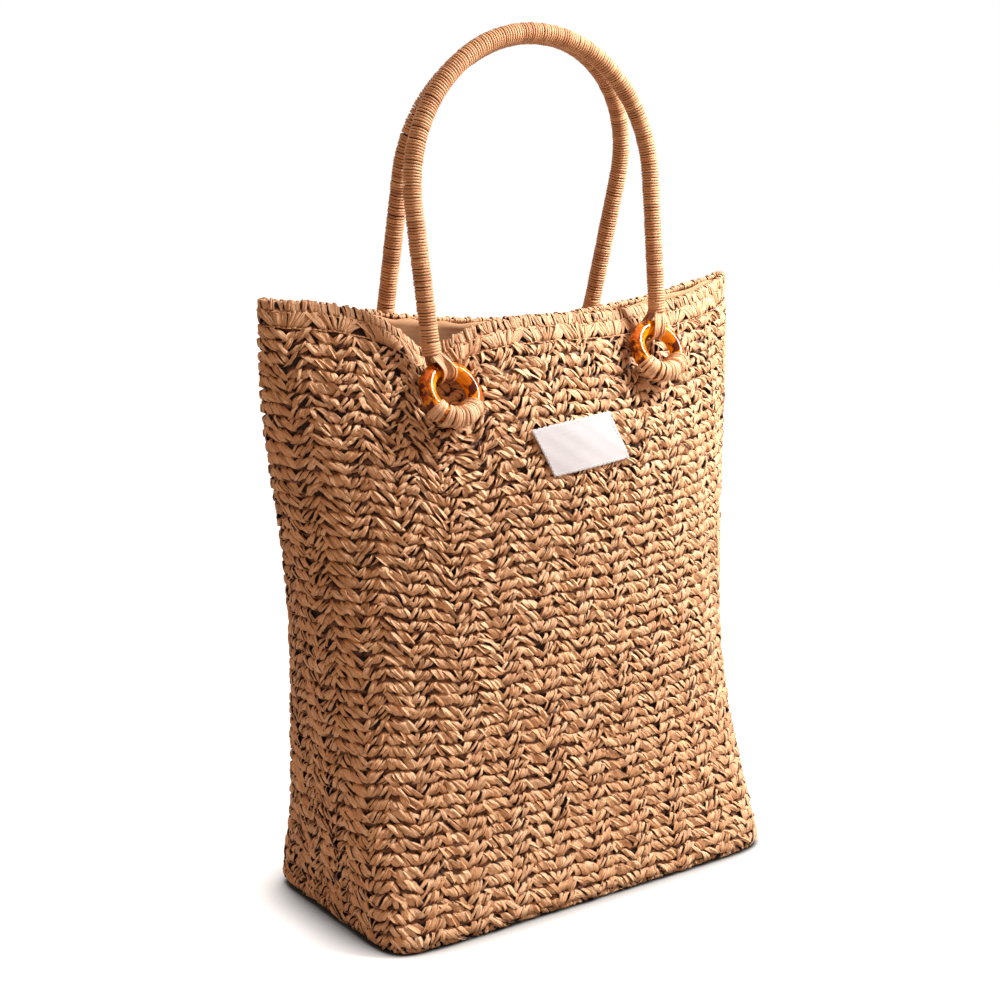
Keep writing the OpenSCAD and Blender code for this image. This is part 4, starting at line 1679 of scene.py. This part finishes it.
@dataclass
class Handle:
    """One wrapped handle with the straps that hang it on its rings."""

    face: Face
    rings: dict[Hand, Ring]
    hinge: dict[str, object]
    finishes: Finishes
    radius: float = 5.55 * MM
    cord_radius: float = 0.82 * MM
    cord_pitch: float = 1.72 * MM
    binding_turns: float = 4.6
    foot_height: float = 12 * MM
    splay: float = math.radians(1.4)
    core_radius: float = 3.9 * MM
    strap_strands: int = 7
    strap_width: float = 1.85 * MM
    strap_at_ring: float = 9.6 * MM
    strap_at_foot: float = 7.6 * MM
    right_loop_angle: float = math.radians(8)

    FEET = {Face.FRONT: (-90 * MM, 87 * MM), Face.REAR: (-83 * MM, 83 * MM)}
    LEG = {Face.FRONT: 99.5 * MM, Face.REAR: 103.5 * MM}
    LEAN = {Face.FRONT: math.radians(0.5), Face.REAR: math.radians(15.4)}

    def __post_init__(self) -> None:
        """Sets up the handle's own frame on its hinge line."""
        side = self.face.value
        self.body = f"{self.face.word}_handle"
        start = np.array(self.hinge["pos_m"], float)
        axis = np.array(self.hinge["axis"], float)
        self.ex = unit(axis * np.sign(axis[0]))
        lean = self.LEAN[self.face]
        upright = np.array([0, -side * math.sin(lean), math.cos(lean)])
        self.ez = unit(upright - upright @ self.ex * self.ex)
        self.ey = np.cross(self.ez, self.ex)
        self.origin = start - self.ex * (start[0] / self.ex[0])
        self.path = self._path()
        self.run = run_along(self.path)
        self.tangents = unit(np.gradient(self.path, self.run, axis=0))

    def _path(self) -> Array:
        """The centre line of the arch, from the left foot to the right one."""
        left, right = (x / self.ex[0] for x in self.FEET[self.face])
        half = (right - left) / 2
        rise = self.LEG[self.face] - self.foot_height
        top_r = half * math.cos(self.splay) + rise * math.sin(self.splay)
        leg = (rise - top_r * math.sin(self.splay)) / math.cos(self.splay)
        turns = np.linspace(math.pi + self.splay, -self.splay, 161)
        arc = np.stack([top_r * np.cos(turns), top_r * np.sin(turns)], axis=1)
        down = np.linspace(leg, 0, 60)[:-1, None]
        first = arc[0] + np.array([math.sin(self.splay), -math.cos(self.splay)]) * down
        last = arc[-1] + np.array([-math.sin(self.splay), -math.cos(self.splay)]) * down[::-1]
        flat = np.concatenate([first, arc, last])
        x = flat[:, 0] + (left + right) / 2
        z = flat[:, 1] + self.LEG[self.face]
        return self.place(x, np.zeros_like(x), z)

    def place(self, x: Array, y: Array, z: Array) -> Array:
        """Points from distances in the handle's own frame."""
        parts = ((x, self.ex), (y, self.ey), (z, self.ez))
        return self.origin + sum(length[..., None] * way for length, way in parts)

    def build(self) -> list[Piece]:
        """Builds the wrap, the core, the straps and the end bindings."""
        pieces = [self._wrap(), self._core()]
        for hand in Hand:
            pieces += [self._strap(hand), self._binding(hand)]
        return pieces

    def _foot(self, hand: Hand) -> float:
        """Where along the hinge one end stands."""
        return self.FEET[self.face][0 if hand is Hand.LEFT else 1] / self.ex[0]

    def _bend(self, co: Array, start: float) -> Array:
        """Carries vertices along Z onto the arch, with z = 0 at a distance along it."""
        at = co[:, 2] + start
        inside = np.clip(at, 0, self.run[-1])
        centre, way = (
            np.stack([np.interp(inside, self.run, line) for line in rows.T], axis=1)
            for rows in (self.path, self.tangents)
        )
        way = unit(way)
        out = unit(np.cross(way, self.ey))
        return centre + way * (at - inside)[:, None] + out * co[:, :1] + self.ey * co[:, 1:2]

    def _wrap(self) -> Piece:
        """The close turns of fine cord along the whole handle."""
        rng = np.random.default_rng(hash_word(self.body))
        coil = Coil(self.run[-1] / self.cord_pitch)
        table = np.arange(int(coil.turn.max()) + 2)
        swell = np.interp(coil.turn, table, 1 + rng.normal(0, 0.022, len(table)))
        slide = np.interp(coil.turn, table, rng.normal(0, 0.1, len(table)) * self.cord_pitch)
        radius = (self.radius - self.cord_radius * 0.7) * swell
        co = coil.wound(self.cord_pitch, radius, self.cord_radius)
        co[:, 2] += slide
        tones = shades(rng, 0.5, 0.28, len(table))
        obj = coil.finish(f"{self.body}_cord", self._bend(co, 0.0), tones, self.radius)
        return finish_piece(obj, self.finishes.cord, self.body, "paper_cord", f"{self.body}_wrap")

    def _core(self) -> Piece:
        """The dark core under the cord."""
        bm = tube(20, 121)
        end = 0.5 * MM
        size = (self.core_radius, self.core_radius, self.run[-1] - 2 * end)
        obj = settle(f"{self.body}_rod", bm, self._bend(places_of(bm) * size, end))
        return finish_piece(obj, self.finishes.core, self.body, "handle_core", f"{self.body}_core")

    def _loop_place(self, hand: Hand) -> float:
        """Where along the hinge a loop lies."""
        ring = self.rings[hand]
        leans = self.face is Face.FRONT and hand is Hand.RIGHT
        angle = self.right_loop_angle if leans else 0.0
        aside = math.sin(angle) * ring.across[0]
        places = np.array([aside, math.cos(angle), 0.0]) * ring.mean_radius
        return float((ring.place(*places[:, None])[0] - self.origin) @ self.ex)

    def _strap(self, hand: Hand) -> Piece:
        """Parallel strands from the handle's end round the ring and back."""
        rng = np.random.default_rng(hash_word(f"{self.body}{hand.word}"))
        count = self.strap_strands
        spread = (np.arange(count) - (count - 1) / 2) / count
        at_ring = self._loop_place(hand) + spread * self.strap_at_ring
        at_foot = self._foot(hand) + spread * self.strap_at_foot
        round_ring = self.rings[hand].section_radius + 1.0 * MM
        width = self.strap_width * rng.uniform(0.85, 1.15, count)
        tone = shades(rng, 0.5, 0.16, count)
        depth, waist, top = 3.4 * MM, self.foot_height - 2.5 * MM, self.foot_height + 3 * MM
        turns = np.radians(np.arange(0, -181, -30))
        keys = []
        for k in range(count):
            r = round_ring * (1 + 0.05 * rng.normal()) + 12 * MM * spread[k] ** 2
            down = [[depth, top], [depth * 1.15, waist], [r * 0.93, 3.0 * MM]]
            round_it = [[r * math.cos(a), r * math.sin(a)] for a in turns]
            keys.append(down + round_it + [[-y, z] for y, z in reversed(down)])
        bends = Bends(keys, 90)
        strand = Strand(sides=7, spans=26)
        creases = strand.creases(rng, -0.4, 0.2, count)

        def place(local: Local) -> Array:
            """Bends each strand round the ring."""
            k = local.strand
            across, up = local.ribbon(creases, 0.85)
            y, z = bends.at(local, up * 0.7 * MM).T
            drop = np.clip(1 - z / self.foot_height, 0, 1)
            x = at_foot[k] + (at_ring[k] - at_foot[k]) * drop + across * width[k] / 2
            return self.place(x, y, z)

        corner = self.rings[hand].corner
        obj = Bundle(f"{corner}_strap", count, strand).lay(place, tone, 45 * MM)
        return finish_piece(obj, self.finishes.stitch, self.body, "stitch_straw", f"{corner}_loop")

    def _binding(self, hand: Hand) -> Piece:
        """The last tight turns of cord at a handle's end, over the straps."""
        rng = np.random.default_rng(hash_word(f"{hand.word}{self.body}"))
        coil = Coil(self.binding_turns)
        co = coil.wound(self.cord_pitch, self.radius - 0.45 * MM, self.cord_radius * 1.1)
        z = self.foot_height - 2.6 * MM + co[:, 2]
        tilt = math.tan(self.splay) * (z - self.foot_height) * hand.value
        placed = self.place(self._foot(hand) + tilt + co[:, 0], co[:, 1], z)
        tones = shades(rng, 0.5, 0.15, math.ceil(self.binding_turns) + 1)
        corner = self.rings[hand].corner
        obj = coil.finish(f"{corner}_end_cord", placed, tones, self.radius)
        node = f"{corner}_end_binding"
        return finish_piece(obj, self.finishes.cord, self.body, "paper_cord", node)


# ---------------------------------------------------------------- the scene round the bag


@dataclass(frozen=True)
class Studio:
    """Floor, lamps and camera."""

    camera_place: tuple[float, float, float] = (-0.6099, -0.8183, 0.4376)
    azimuth: float = math.radians(-35.65)
    pitch: float = math.radians(10.48)
    lens: float = 57.35
    fill: Colour = (1.0, 0.55, 0.29)
    fill_strength: float = 0.43
    contact: float = 0.04
    pale: Colour = (0.46, 0.42, 0.38)
    aim: tuple[float, float, float] = (0.0, 0.0, 0.25)

    BLACK = (0.0, 0.0, 0.0)
    WHITE = (1.0, 1.0, 1.0)

    def build(self) -> None:
        """Builds the studio."""
        self._camera()
        self._floor()
        self._lamps()
        self._world()

    def _camera(self) -> None:
        """The camera, turned to the bag's left front corner."""
        data = bpy.data.cameras.new("Camera")
        data.lens = self.lens
        data.sensor_width = 36
        data.clip_end = 50
        camera = bpy.data.objects.new("Camera", data)
        camera.location = self.camera_place
        camera.rotation_euler = (math.pi / 2 - self.pitch, 0, self.azimuth)
        bpy.context.scene.collection.objects.link(camera)
        bpy.context.scene.camera = camera

    def _floor(self) -> None:
        """A pale floor, white to the camera beside the bag, with a painted contact shadow: its
        colour and glow darken by ambient occlusion near the bag.
        """
        bm = bmesh.new()
        bmesh.ops.create_grid(bm, x_segments=1, y_segments=1, size=6)
        mesh = bpy.data.meshes.new("studio_floor")
        bm.to_mesh(mesh)
        bm.free()
        floor = as_object("studio_floor", mesh, smooth=False)
        material, graph, shader = new_material("Pale floor")
        # Painted shadow: ambient occlusion darkens the colour and the glow within the contact
        # distance of the bag.
        near = graph.add("ShaderNodeAmbientOcclusion", samples=16)
        near.inputs["Distance"].default_value = self.contact
        open_share = graph.stretch(near.outputs["AO"], 0.42, 0.92)
        colour = graph.blend(open_share, (0.03, 0.03, 0.03), self.pale)
        graph.join(colour, shader.inputs["Base Color"])
        glow = graph.blend(open_share, self.BLACK, self.WHITE)
        graph.join(glow, shader.inputs["Emission Color"])
        graph.join(white_to_rays(graph), shader.inputs["Emission Strength"])
        shader.inputs["Roughness"].default_value = 0.9
        dress(floor, material)

    def _lamps(self) -> None:
        """A soft key near the right front, and a weak light from above."""
        self._lamp("key", (0.46, -0.345, 0.81), 0.22, 14.4)
        self._lamp("top", (0.1, 0.0, 2.0), 1.4, 9.0)

    def _lamp(
        self, name: str, place: tuple[float, float, float], size: float, power: float
    ) -> None:
        """One square area lamp that looks at the bag."""
        data = bpy.data.lights.new(name, "AREA")
        data.shape = "SQUARE"
        data.size = size
        data.energy = power
        lamp = bpy.data.objects.new(name, data)
        lamp.location = place
        way = Vector(self.aim) - Vector(place)
        lamp.rotation_euler = way.to_track_quat("-Z", "Y").to_euler()
        bpy.context.scene.collection.objects.link(lamp)

    def _world(self) -> None:
        """A dim warm world, white where the camera or a gloss sees it."""
        world = bpy.data.worlds.new("World")
        bpy.context.scene.world = world
        world.use_nodes = True
        graph = Graph(world.node_tree)
        background = world.node_tree.nodes["Background"]
        seen = white_to_rays(graph)
        strength = graph.stretch(seen, 0, 1, self.fill_strength, 1.0)
        graph.join(strength, background.inputs["Strength"])
        graph.join(graph.blend(seen, self.fill, self.WHITE), background.inputs["Color"])


def white_to_rays(graph: Graph) -> Socket:
    """1 for the rays that look at the backdrop, from the camera or off a gloss, 0 for light."""
    path = graph.add("ShaderNodeLightPath")
    seen = graph.math("MAXIMUM", path.outputs["Is Camera Ray"], path.outputs["Is Glossy Ray"])
    return graph.math("MAXIMUM", seen, path.outputs["Is Transmission Ray"])


def build_bag(frame: dict) -> None:
    """Builds every sub-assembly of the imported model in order."""
    finishes = Finishes()
    skin = Skin(BagForm())
    rings = {face: {hand: Ring(face, hand, skin, finishes) for hand in Hand} for face in Face}
    sewn = [ring.centre for pair in rings.values() for ring in pair.values()]
    WovenBody(skin, finishes, sewn).build()
    Rim(skin, finishes).build()
    Lining(skin, finishes).build()
    Label(skin, finishes).build()
    hinges = {joint["child"]: joint for joint in frame["joints"]}
    for face in Face:
        for ring in rings[face].values():
            ring.build()
        Handle(face, rings[face], hinges[f"{face.word}_handle"], finishes).build()


def main() -> None:
    """Builds the bag and its studio."""
    logging.basicConfig(level=logging.INFO, format="%(name)s %(message)s")
    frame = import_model()
    Studio().build()
    build_bag(frame)
    bpy.context.scene.view_settings.view_transform = "Standard"


if __name__ == "__main__":
    main()
